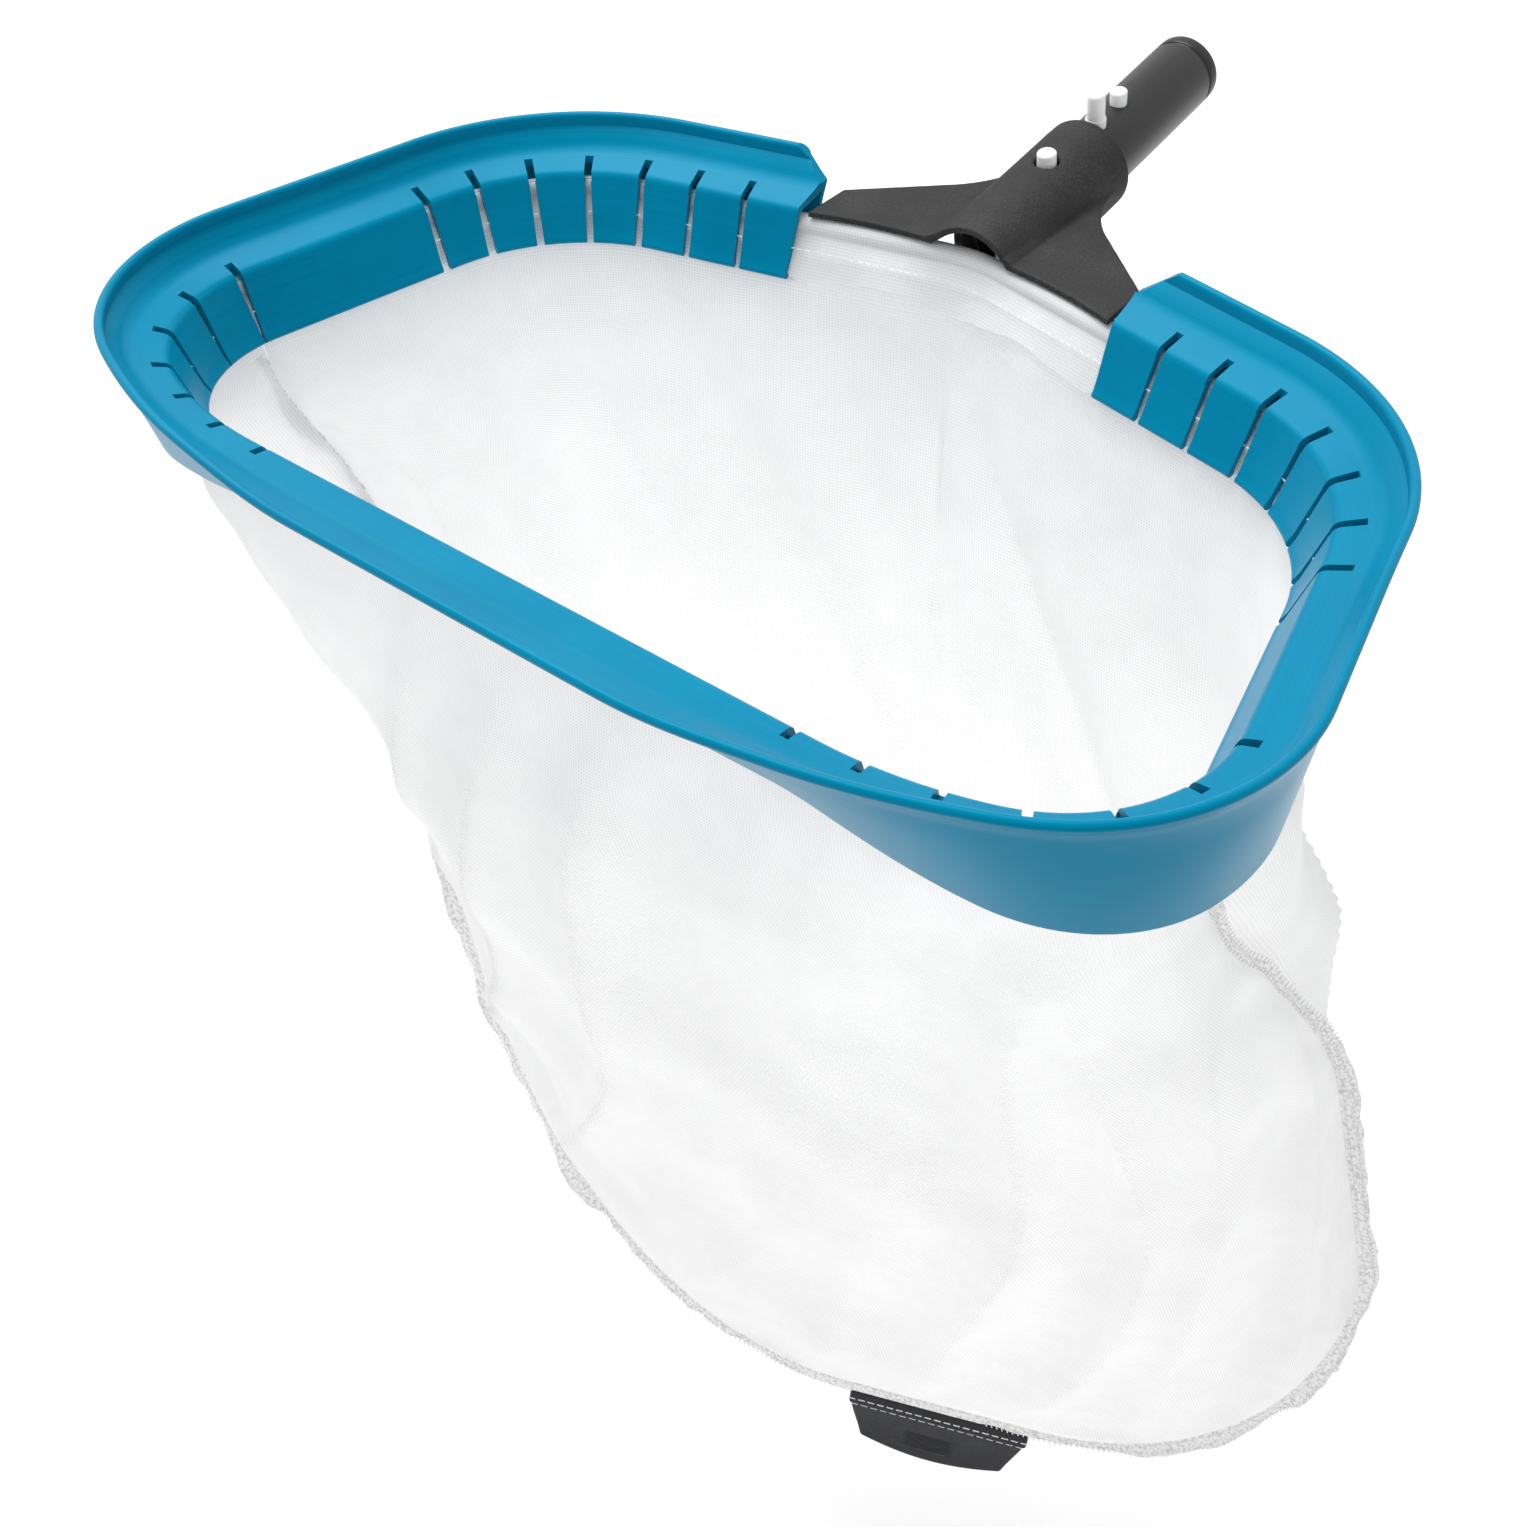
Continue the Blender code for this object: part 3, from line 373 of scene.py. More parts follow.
def from_edge(along, offset, height):
    """A point by distance along the edge (negative on the -X half), offset outwards and height."""
    x, y, heading, _ = walk(STRETCHES, abs(along))
    x += offset * math.sin(heading)
    y -= offset * math.cos(heading)
    return Vector((math.copysign(x, along) if along else x, y, height))


def edge_length_to_x(x, offset):
    """How far along the edge the back arm's line at that offset reaches the given X."""
    low, high = HALF_EDGE / 2, HALF_EDGE
    for _ in range(40):
        middle = (low + high) / 2
        low, high = (middle, high) if from_edge(middle, offset, 0).x > x else (low, middle)
    return low


print("half the edge of the mouth:", round(HALF_EDGE * 1000), "mm")

# %% [markdown]
# ## Building meshes
# A strip is rings of points joined side by side. These helpers join the rings, write a UV map in
# metres for the materials to read, give the mesh outward normals, and put it on its body.

# %% From points to objects
def smooth_ease(share):
    """A smooth step from 0 to 1."""
    share = min(max(share, 0.0), 1.0)
    return share * share * (3 - 2 * share)


def waver(x, y, z=0.0):
    """Smooth noise between about -1 and 1."""
    return noise.noise(Vector((x, y, z)))


def make_object(name, mesh, material):
    """An object with that mesh and material, at the origin."""
    mesh.materials.clear()
    mesh.materials.append(material)
    made = bpy.data.objects.new(name, mesh)
    bpy.context.scene.collection.objects.link(made)
    return made


def smooth_shaded(mesh, sharp):
    """Smooth shading, but for edges sharper than that many degrees."""
    mesh.shade_smooth()
    mesh.set_sharp_from_angle(angle=math.radians(sharp))


def from_bmesh(name, bm, material, sharp=40, outward=True):
    """An object from a bmesh."""
    if outward:
        bmesh.ops.recalc_face_normals(bm, faces=bm.faces)
    mesh = bpy.data.meshes.new(name)
    bm.to_mesh(mesh)
    bm.free()
    smooth_shaded(mesh, sharp)
    return make_object(name, mesh, material)


def loft(rings, name="cutter", material=None, looped=False, uv_name=None, lengths=None, sharp=40):
    """A surface through rings of points, capped unless the last ring leads back to the first.

    Its UVs are in metres: the given lengths along the rings, then the way round each ring.
    """
    bm = bmesh.new()
    rows = [[bm.verts.new(point) for point in ring] for ring in rings]
    count = len(rows[0])
    uv = bm.loops.layers.uv.new(uv_name) if uv_name else None
    across = [[0.0] for _ in rings]
    for row, ring in zip(across, rings):
        for i in range(1, count + 1):
            row.append(row[-1] + (ring[i % count] - ring[i - 1]).length)
    for k in range(len(rows) - (not looped)):
        after = (k + 1) % len(rows)
        for i in range(count):
            j = (i + 1) % count
            face = bm.faces.new((rows[k][i], rows[k][j], rows[after][j], rows[after][i]))
            if uv:
                corners = ((k, k, i), (k, k, i + 1), (k + 1, after, i + 1), (k + 1, after, i))
                for loop, (step, row, column) in zip(face.loops, corners):
                    loop[uv].uv = (lengths[step], across[row][column])
    if not looped:
        bm.faces.new(rows[0])
        bm.faces.new(reversed(rows[-1]))
    return from_bmesh(name, bm, material, sharp)


def prism(outline, low, high, name="cutter", material=None):
    """An outline carried straight up from one height to another."""
    return loft([[Vector((x, y, z)) for x, y in outline] for z in (low, high)], name, material)


def turned(profile, base, axis, sides=48, name="cutter", material=None, looped=False):
    """A solid turned round an axis, from (distance along it, radius) points."""
    to_axis = Vector(axis).to_track_quat("Z", "X").to_matrix()
    rings = [
        [Vector(base) + to_axis @ Vector((r * math.cos(a), r * math.sin(a), along))
         for a in (math.tau * k / sides for k in range(sides))]
        for along, r in profile
    ]
    return loft(rings, name, material, looped)


def peg(radius, length, base, axis, sides):
    """A plain cylinder, to cut or join."""
    return turned([(0, radius), (length, radius)], base, axis, sides)


def slab(grids, name, material, sharp=40, triangles=False):
    """Two facing grids of points, each a surface, joined round their edges."""
    bm = bmesh.new()
    front, back = [[[bm.verts.new(p) for p in row] for row in grid] for grid in grids]
    for grid in (front, back):
        for low, high in zip(grid, grid[1:]):
            for i in range(len(low) - 1):
                bm.faces.new((low[i], low[i + 1], high[i + 1], high[i]))
    rims = [(front[0], back[0]), (front[-1], back[-1])]
    rims += [([row[i] for row in front], [row[i] for row in back]) for i in (0, -1)]
    for a, b in rims:
        for i in range(len(a) - 1):
            bm.faces.new((a[i], a[i + 1], b[i + 1], b[i]))
    if triangles:
        bmesh.ops.triangulate(bm, faces=bm.faces)
    return from_bmesh(name, bm, material, sharp)


print("a wave of noise, for the folds to come:", round(waver(0.3, 0.5), 3))

# %% Cutting, finishing and placing
def modify(target, kind, **settings):
    """One more modifier on the target."""
    made = target.modifiers.new(kind.lower(), kind)
    for key, value in settings.items():
        setattr(made, key, value)
    return made


def applied(target, sharp):
    """The target with its modifiers turned into plain mesh."""
    finish = target.data.materials[0]
    mesh = bpy.data.meshes.new_from_object(target.evaluated_get(bpy.context.evaluated_depsgraph_get()))
    target.modifiers.clear()
    target.data = mesh
    mesh.materials.clear()
    mesh.materials.append(finish)
    smooth_shaded(mesh, sharp)
    return target


def cut(target, cutters, operation="DIFFERENCE", sharp=40):
    """The target with the cutters, joined into one mesh, cut from it or added to it."""
    bm = bmesh.new()
    for cutter in cutters:
        bm.from_mesh(cutter.data)
        bpy.data.objects.remove(cutter)
    mesh = bpy.data.meshes.new("cutters")
    bm.to_mesh(mesh)
    bm.free()
    tool = make_object("cutters", mesh, target.data.materials[0])
    modify(target, "BOOLEAN", operation=operation, object=tool, solver="EXACT")
    applied(target, sharp)
    bpy.data.objects.remove(tool)


def placed(piece, body, slot, *nodes):
    """A finished piece, riding on its body in place of those solids."""
    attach(piece, body)
    if nodes:
        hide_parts(*nodes)
    print(piece.name, "on", body, "-", sum(len(p.vertices) - 2 for p in piece.data.polygons), "triangles")
    return piece


# %% [markdown]
# ## Stitches by Geometry Nodes
# Sewing repeats along a path, which is what Geometry Nodes do best. The tree turns a path into a
# curve, spaces points along it by the stitch length, and sets a short thread on each, turned to
# the path. Its sizes are named inputs, so every seam on the net uses this one tree.

# %% The stitch tree
def geometry_tree(name, inputs):
    """A node tree with those number inputs, their sockets, and their identifiers for a modifier."""
    tree = bpy.data.node_groups.new(name, "GeometryNodeTree")
    for way in ("INPUT", "OUTPUT"):
        tree.interface.new_socket("Geometry", in_out=way, socket_type="NodeSocketGeometry")
    keys = {}
    for label, default in inputs.items():
        socket = tree.interface.new_socket(label, in_out="INPUT", socket_type="NodeSocketFloat")
        socket.default_value = default
        keys[label] = socket.identifier
    return tree, add(tree, "NodeGroupInput").outputs, keys


def lay(tree, points, piece, material, **turned_by):
    """The tree's result: a real copy of the piece on each point, in that material."""
    laid = add(tree, "GeometryNodeInstanceOnPoints", {"Points": points, "Instance": piece, **turned_by})
    real = add(tree, "GeometryNodeRealizeInstances", {"Geometry": laid.outputs[0]}).outputs[0]
    finish = add(tree, "GeometryNodeSetMaterial", {"Geometry": real, "Material": material}).outputs[0]
    add(tree, "NodeGroupOutput", {"Geometry": finish})


def grown(name, mesh, material, tree, keys, values, sharp):
    """A plain mesh made by running the tree on that mesh."""
    made = make_object(name, mesh, material)
    step = modify(made, "NODES", node_group=tree)
    for key, value in values.items():
        step[keys[key]] = value
    return applied(made, sharp)


def stitch_tree():
    """Threads laid end to end along a path."""
    tree, ends, keys = geometry_tree(
        "stitches", {"Pitch": 3 * MM, "Length": 2 * MM, "Radius": 0.3 * MM, "Slant": 0.0})
    path = add(tree, "GeometryNodeMeshToCurve", {"Mesh": ends["Geometry"]}).outputs[0]
    spaced = add(tree, "GeometryNodeResampleCurve", {"Curve": path, "Length": ends["Pitch"]}, mode="LENGTH")
    tangent = add(tree, "GeometryNodeInputTangent").outputs[0]
    turn = add(tree, "FunctionNodeAlignRotationToVector", {"Vector": tangent}, axis="Z").outputs[0]
    slant = add(tree, "ShaderNodeCombineXYZ", {"X": ends["Slant"]}).outputs[0]
    lean = add(tree, "FunctionNodeRotateRotation", {"Rotation": turn, "Rotate By": slant},
               rotation_space="LOCAL").outputs[0]
    thread = add(tree, "GeometryNodeMeshCylinder", {
        "Vertices": 6, "Side Segments": 1, "Radius": ends["Radius"], "Depth": ends["Length"],
    }).outputs["Mesh"]
    lay(tree, spaced.outputs[0], thread, THREAD, Rotation=lean)
    return tree, keys


STITCHES, STITCH_KEYS = stitch_tree()


def sew(name, paths, pitch, length, radius, slant=0.0):
    """One plain mesh of stitches along those paths."""
    mesh = bpy.data.meshes.new(name)
    points, edges = [], []
    for path in paths:
        first = len(points)
        points += [tuple(p) for p in path]
        edges += [(first + i, first + i + 1) for i in range(len(path) - 1)]
    mesh.from_pydata(points, edges, [])
    sizes = {"Pitch": pitch, "Length": length, "Radius": radius, "Slant": slant}
    return grown(name, mesh, THREAD, STITCHES, STITCH_KEYS, sizes, 60)


print("stitch inputs:", sorted(STITCH_KEYS))

# %% [markdown]
# ## The scoop rim
# The rim is one extrusion, shaped like an h: an outer wall that ends in a rolled lip, a shelf, and
# an inner skirt with a bead on its foot. Pushed round the frame it twists, so its lip lies out
# along the front edge and stands up round the corners. One section, drawn with arcs at its bends
# and changed a little at each step, is carried along the edge to make it.

# %% The rim's section
WALL = 1.8 * MM
SHELF = 16 * MM
SKIRT_FOOT = Vector((-8.2, -25)) * MM
BEAD_R = 1.7 * MM
RIM_END_X = 69 * MM


def arc(centre, radius, start, end, steps):
    """Points on an arc, its angles in degrees."""
    angles = [math.radians(start + (end - start) * k / steps) for k in range(steps + 1)]
    return [centre + Vector((math.cos(a), math.sin(a))) * radius for a in angles]


def rounded(before, corner, after, reach, steps=5):
    """A corner eased into a curve that starts and ends that far from it."""
    start = corner + (before - corner).normalized() * reach
    end = corner + (after - corner).normalized() * reach
    shares = [k / steps for k in range(steps + 1)]
    return [start * (1 - t) ** 2 + corner * 2 * t * (1 - t) + end * t * t for t in shares]


def rim_section(along):
    """The rim's outline there, as (offset, height) points."""
    s = abs(along)
    corner = smooth_ease((s - 62 * MM) / (118 * MM))
    wall_turn = smooth_ease((s - 95 * MM) / (125 * MM))
    back = smooth_ease((s - (HALF_EDGE - 250 * MM)) / (150 * MM))
    lip_lean = math.radians(57 - 45 * corner + 16 * back)
    wall_lean = math.radians(34 - 30 * wall_turn + 16 * back)
    lip = Vector((math.sin(lip_lean), math.cos(lip_lean)))
    wall = Vector((math.sin(wall_lean), math.cos(wall_lean)))
    lip_out, wall_out = Vector((lip.y, -lip.x)), Vector((wall.y, -wall.x))
    half = WALL / 2
    ridge = Vector((SHELF, (1.0 + 3.5 * corner) * MM))
    bead = ridge + lip * (13 - 2 * corner) * MM
    foot = ridge - wall * (33 + 5 * wall_turn) * MM
    down = SKIRT_FOOT.normalized()
    skirt_out = Vector((-down.y, down.x))
    lean, wall_tilt = math.degrees(lip_lean), math.degrees(wall_lean)
    under_ridge = ridge + Vector((-half - 1.2 * MM * wall.x, -half - 1.4 * MM))
    bend_out = ridge + (lip_out + wall_out) * 0.55 * half
    fold = Vector((-half, half))
    shelf_in = ridge + Vector((-3.5 * MM, half * 0.8))
    points = [bead - lip_out * 0.45 * half - lip * 2.1 * BEAD_R]
    points += arc(bead, BEAD_R, 200 - lean, -45 - lean, 12)
    points += rounded(bead + lip_out * half, bend_out, foot + wall_out * half, 5 * MM)
    points += arc(foot, half, -wall_tilt, -180 - wall_tilt, 5)
    points += rounded(foot - wall_out * half, under_ridge, Vector((4 * MM, -half)), 1.6 * MM, 3)
    points += rounded(under_ridge, Vector((1.4 * MM, -half)), SKIRT_FOOT, 1.4 * MM, 3)
    bead_in = math.degrees(math.atan2(skirt_out.y, skirt_out.x))
    centre = SKIRT_FOOT - down * BEAD_R * 0.8
    points += [centre - down * 2.2 * BEAD_R + skirt_out * half]
    points += arc(centre, BEAD_R * 0.94, bead_in + 35, bead_in - 215, 10)
    points += [centre - down * 2.2 * BEAD_R - skirt_out * half]
    points += rounded(SKIRT_FOOT - skirt_out * half, fold, shelf_in, 2.2 * MM)
    points += rounded(fold, shelf_in, bead - lip_out * half, 3.8 * MM, 7)
    return points


print("points in the section:", len(rim_section(0)), len(rim_section(0.3)))

# %% [markdown]
# The skirt has to get shorter or longer where the strip bends, so it is slotted there: seven slots
# at each front corner and seven at each back bend. They gape where the skirt is stretched and
# close where it is squeezed, and each runs up into a small notch in the shelf.

# %% The rim's slots
SLOTS_A_GROUP, SLOT_PITCH = 7, 22.3 * MM
FIRST_FRONT_SLOT, LAST_BACK_SLOT = 108 * MM, 23 * MM
NOTCH_HALF = 1.5 * MM
RIM_STEP = 2.53 * MM
RIM_END = edge_length_to_x(RIM_END_X, 0)


def slot_places():
    """Where the slots are along the edge, with the half widths of each at its top and its foot."""
    places = []
    for k in range(SLOTS_A_GROUP):
        front = FIRST_FRONT_SLOT + SLOT_PITCH * k
        tight = 1.0 if walk(STRETCHES, front)[3] > 1 / (80 * MM) else 0.0
        places.append((front, 1.5 * MM, (1.5 - 1.1 * tight) * MM, 5 * MM))
        back = RIM_END - LAST_BACK_SLOT - SLOT_PITCH * k
        gape = 0.3 + 0.9 * noise.random()
        places.append((back, 1.2 * MM, (1.1 + gape) * MM, 8 * MM))
    return [(-s, a, b, c) for s, a, b, c in places] + places


def slot_cutters(along, top_half, foot_half, notch_reach):
    """A wedge through the skirt and a notch in the shelf."""
    under_foot = SKIRT_FOOT.y - 3 * MM
    skirt = ((top_half, 1.3 * MM, -2.4 * MM), (foot_half, SKIRT_FOOT.x + 4 * MM, under_foot),
             (foot_half, SKIRT_FOOT.x - 5 * MM, under_foot), (top_half, -4 * MM, -1 * MM))
    shelf = ((notch_reach, 7 * MM), (notch_reach, -1.5 * MM), (-4 * MM, -2.6 * MM), (-4 * MM, 7 * MM))
    wedge = [[from_edge(along + side * half, offset, z) for half, offset, z in skirt] for side in (-1, 1)]
    notch = [[from_edge(along + side * NOTCH_HALF, offset, z) for offset, z in shelf] for side in (-1, 1)]
    return loft(wedge), loft(notch)


def edge_steps(limit, step):
    """Even distances along the edge from -limit to +limit."""
    count = round(2 * limit / step)
    return [limit * (2 * k / count - 1) for k in range(count + 1)]


noise.seed_set(7)
rim_steps = edge_steps(RIM_END + 8 * MM, RIM_STEP)
rim = loft([[from_edge(s, p.x, p.y) for p in rim_section(s)] for s in rim_steps],
           "scoop_rim_strip", RIM_BLUE, uv_name="strip", lengths=rim_steps)
for cutters in zip(*[slot_cutters(*place) for place in slot_places()]):
    cut(rim, cutters)
back_y = from_edge(RIM_END, SHELF, 0).y
gap = [(-RIM_END_X, back_y - 60 * MM), (RIM_END_X, back_y - 60 * MM),
       (RIM_END_X, back_y + 40 * MM), (-RIM_END_X, back_y + 40 * MM)]
cut(rim, [prism(gap, -60 * MM, 50 * MM)])
ridge_y = from_edge(edge_length_to_x(RIM_END_X, SHELF), SHELF, 0).y
slope = [(RIM_END_X - 4 * MM, 2.4 * MM), (RIM_END_X + 20 * MM, 20.4 * MM), (RIM_END_X - 4 * MM, 50 * MM)]
cut(rim, [loft([[Vector((side * x, ridge_y + y, z)) for x, z in slope] for y in (-3 * MM, 22 * MM)])
          for side in (-1, 1)], sharp=32)
placed(rim, "skimmer", "rim_plastic", "scoop_rim")

# %% [markdown]
# ## The frame rod and the hem
# The rod is the solid that the frame gives, because it is already right and almost hidden. The
# bag's hem wraps it and hangs below it as a doubled strip. The strip shows across the back, under
# the yoke, where it sags between its folds.

# %% The hem
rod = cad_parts["frame_rod"].data
rod.materials.clear()
rod.materials.append(ROD_METAL)
ROD_OFFSET, ROD_Z, HEM_R = 4.2 * MM, -7.1 * MM, 3.95 * MM


def hem_ring(along):
    """The hem's outline there: round over the rod, then both layers down to its stitched edge."""
    gap = smooth_ease((abs(along) - (RIM_END - 12 * MM)) / (14 * MM))
    ripple = waver(along * 38, 2.0) * MM
    sag = 1 + 0.3 * math.cos((HALF_EDGE - abs(along)) * 95) + 0.25 * waver(along * 60, 8, 1)
    tail = Vector((-3.4 * MM - 4.2 * MM * gap + 1.2 * ripple, -15.6 * MM - 7.5 * MM * gap * sag))
    centre = Vector((ROD_OFFSET, ROD_Z))
    ring = arc(centre, HEM_R, -20, 205, 14)
    inner, outer = ring[-1], ring[0]
    half = 0.45 * MM
    ring += [inner.lerp(tail + Vector((-half, 0)), t) + Vector((-0.5 * MM * math.sin(math.pi * t), 0))
             for t in (0.25, 0.5, 0.75, 1.0)]
    ring += [tail + Vector((half, 0))]
    ring += [(tail + Vector((half, 0))).lerp(outer, t) for t in (0.33, 0.66)]
    return ring


hem_steps = edge_steps(HALF_EDGE, 4 * MM)
hem = loft([[from_edge(s, p.x, p.y) for p in hem_ring(s)] for s in hem_steps[:-1]],
           "hem", HEM_MESH, looped=True, uv_name="cloth", lengths=hem_steps)
placed(hem, "skimmer", "mesh_fabric", "hem_sleeve")
hem_sewing = sew("hem_stitches", [[from_edge(s, -4.6 * MM, -13.4 * MM) for s in hem_steps]],
                 3.2 * MM, 2.2 * MM, 0.22 * MM)
placed(hem_sewing, "skimmer", "mesh_fabric")

# %% [markdown]
# ## The mesh bag
# Two panels of cloth are seamed down both sides and round the foot, so the bag is a flat pocket
# whose mouth the frame holds open. It hangs swung to one side and a little forward. Each panel is
# a grid of points hung between the mouth's line and the seam. A cloth simulation could find the
# same shape, but a formula lets the seam stay exactly where the frame has it.

# %% The hanging shape
BAG_TOP_Z, BAG_NECK_Z = -15.5 * MM, -30 * MM
BAG_DEPTH, BAG_HALF_WIDTH, BAG_HALF_DEEP = 413 * MM, 200 * MM, 118 * MM
CORNER_WIDE, CORNER_HIGH = 155 * MM, 225 * MM
FOOT_HALF_THICK = 0.5 * MM
BAG_MIDDLE_Y = -195 * MM
BAG_SWING = Vector((140, -62)) * MM
BAG_TWIST, BAG_TILT = math.radians(24), math.radians(3.5)
RIGHT_NARROWED = 0.965
SEAM_AT, NECK_SHARE = 0.44, 0.03


def bag_place(width_share, lift, share):
    """A place in the pocket: -1 to 1 across it, forward of its middle, and 0 to 1 down it."""
    width = BAG_HALF_WIDTH * width_share * (RIGHT_NARROWED if width_share > 0 else 1)
    into_corner = max(abs(width) - (BAG_HALF_WIDTH - CORNER_WIDE), 0) / CORNER_WIDE
    deepest = BAG_DEPTH - CORNER_HIGH * (1 - math.sqrt(max(1 - into_corner ** 2, 0)))
    down = deepest * share
    hung = down / BAG_DEPTH
    cosine, sine = math.cos(BAG_TWIST * hung), math.sin(BAG_TWIST * hung)
    return Vector((
        width * cosine + lift * sine + BAG_SWING.x * hung,
        width * sine - lift * cosine + BAG_MIDDLE_Y + BAG_SWING.y * hung,
        BAG_NECK_Z - down - width * math.tan(BAG_TILT) * hung,
    ))


def seam_angle(u):
    """The angle round the pocket, 90 degrees at each seam. U is -1 to 1 round the bag, 0 in front."""
    if abs(u) < SEAM_AT:
        return math.radians(90 * u / SEAM_AT)
    return math.radians(math.copysign(90 + 90 * (abs(u) - SEAM_AT) / (1 - SEAM_AT), u))


def half_deep(v):
    """How far the middle of each panel stands from the pocket's middle at that share of its depth."""
    share = max(v - NECK_SHARE, 0) / (1 - NECK_SHARE)
    return FOOT_HALF_THICK + BAG_HALF_DEEP * (1 - share ** 1.3)


def bag_point(u, v):
    """A point of the smooth bag."""
    along = u * HALF_EDGE
    neck = from_edge(along, -6.6 * MM, BAG_NECK_Z)
    if v <= NECK_SHARE:
        return from_edge(along, -2.8 * MM, BAG_TOP_Z).lerp(neck, v / NECK_SHARE)
    share = (v - NECK_SHARE) / (1 - NECK_SHARE)
    angle = seam_angle(u)
    hung = bag_place(math.sin(angle), half_deep(v) * math.cos(angle), share)
    flat = neck.lerp(hung, smooth_ease(share / 0.6))
    return Vector((flat.x, flat.y, hung.z))


print("foot of the bag:", [round(c * 1000) for c in bag_place(0, 0, 1)], "mm")

# %% [markdown]
# Folds in hung cloth aren't random. They start as small gathers at the hem, join as they go down,
# and run towards what carries the weight. Smooth noise that is stretched down the bag and drawn
# sideways with depth gives that look. Its strength fades at the hem and at the seam, where small
# puckers take over.

# %% Folds and puckers
SEAM_GAP, NEAR = 1e-4, 0.006


def fold_height(u, v):
    """How far the cloth stands out of the smooth bag there."""
    round_way, down = u * HALF_EDGE, v * BAG_DEPTH
    drift = round_way + 0.5 * down
    seam_gap = min(abs(abs(u) - SEAM_AT) * HALF_EDGE, (1 - v) * BAG_DEPTH)
    free = smooth_ease(v / 0.3) * (0.15 + 0.85 * smooth_ease(seam_gap / (50 * MM)))
    broad = waver(drift * 8, down * 2.4, 3.1)
    drape = waver(drift * 21, down * 3.4, 8.7)
    cross = waver(round_way * 12 - down * 10, down * 14, 5.5)
    gather = waver(round_way * 75, down * 9, 1.3)
    pucker = waver(round_way * 30 + 7, down * 48, 6.4)
    height = free * (16 * broad + 15 * (0.3 - abs(drape)) + 4.2 * cross)
    height += 1.3 * gather * smooth_ease(v / 0.05) * (1 - smooth_ease((v - 0.08) / 0.25))
    height += 2.6 * pucker * math.exp(-seam_gap / (26 * MM)) * smooth_ease((v - 0.08) / 0.1)
    fullness = 13 if -SEAM_AT < u < 0 else 20 if u > SEAM_AT else 0
    beside = math.exp(-(((seam_gap - 42 * MM) / (34 * MM)) ** 2))
    fades_at = 0.5 if u < 0 else 0.34
    height += fullness * beside * smooth_ease(v / 0.14) * (1 - smooth_ease((v - fades_at) / 0.26))
    room = 0.45 * half_deep(v) * abs(math.cos(seam_angle(u)))
    return max(height * MM, -room) * smooth_ease(seam_gap / (9 * MM))


def cloth_point(u, v):
    """A point of the smooth bag, for a place that may run past 1 to the back of the other side."""
    return bag_point(u - 2 if u > 1 else u, v)


def panel(bm, uv, u_from, u_to, columns, rows=130):
    """One folded panel, added to the mesh, with the cloth's own UVs in metres."""
    low_u, high_u = u_from + SEAM_GAP, u_to - SEAM_GAP
    grid = []
    for r in range(rows + 1):
        v, row = r / rows, []
        for k in range(columns + 1):
            u = low_u + (high_u - low_u) * k / columns
            round_way = cloth_point(min(u + NEAR, high_u), v) - cloth_point(max(u - NEAR, low_u), v)
            down_way = cloth_point(u, min(v + NEAR, 1)) - cloth_point(u, max(v - NEAR, 0))
            out = down_way.cross(round_way).normalized()
            height = fold_height(u - 2 if u > 1 else u, v)
            row.append((bm.verts.new(cloth_point(u, v) + out * height), (u * HALF_EDGE, v * BAG_DEPTH)))
        grid.append(row)
    for low, high in zip(grid, grid[1:]):
        for i in range(columns):
            corners = (low[i], high[i], high[i + 1], low[i + 1])
            face = bm.faces.new([vert for vert, _ in corners])
            for loop, (_, at) in zip(face.loops, corners):
                loop[uv].uv = at


bm = bmesh.new()
cloth_uv = bm.loops.layers.uv.new("cloth")
panel(bm, cloth_uv, -SEAM_AT, SEAM_AT, 150)
panel(bm, cloth_uv, SEAM_AT, 2 - SEAM_AT, 170)
bag = from_bmesh("mesh_bag", bm, BAG_MESH, sharp=180, outward=False)
print("cloth in the bag:", round(sum(p.area for p in bag.data.polygons), 3), "square metres")
placed(bag, "skimmer", "mesh_fabric", "bag_front_panel", "bag_back_panel")

# %% [markdown]
# ## The seam binding
# Both panels' edges are overlocked together, which leaves a narrow ruffled tape standing out from
# the bag. Its length is a little more than the seam's, so it waves from side to side. It is one
# strip from the left side, round the foot, to the right side.

# %% The seam's line
SEAM_WIDTH = 9 * MM


def seam_line():
    """Even points down the left seam, round the foot and up the right seam."""
    points = []
    for side in (-1, 1):
        down = [(bag_point(side * (SEAM_AT - 0.001), v) + bag_point(side * (SEAM_AT + 0.001), v)) / 2
                for v in (0.05 + 0.95 * k / 60 for k in range(60))]
        foot = [bag_place(side * math.cos(math.pi / 2 * k / 60), 0, 1) for k in range(60)]
        points.append(down + foot)
    line = points[0] + [bag_place(0, 0, 1)] + points[1][::-1]
    reach = np.concatenate([[0], np.cumsum([(b - a).length for a, b in zip(line, line[1:])])])
    count = round(reach[-1] / (1.5 * MM))
    where = np.linspace(0, reach[-1], count + 1)
    columns = [np.interp(where, reach, [p[axis] for p in line]) for axis in range(3)]
    return [Vector(p) for p in zip(*columns)], where


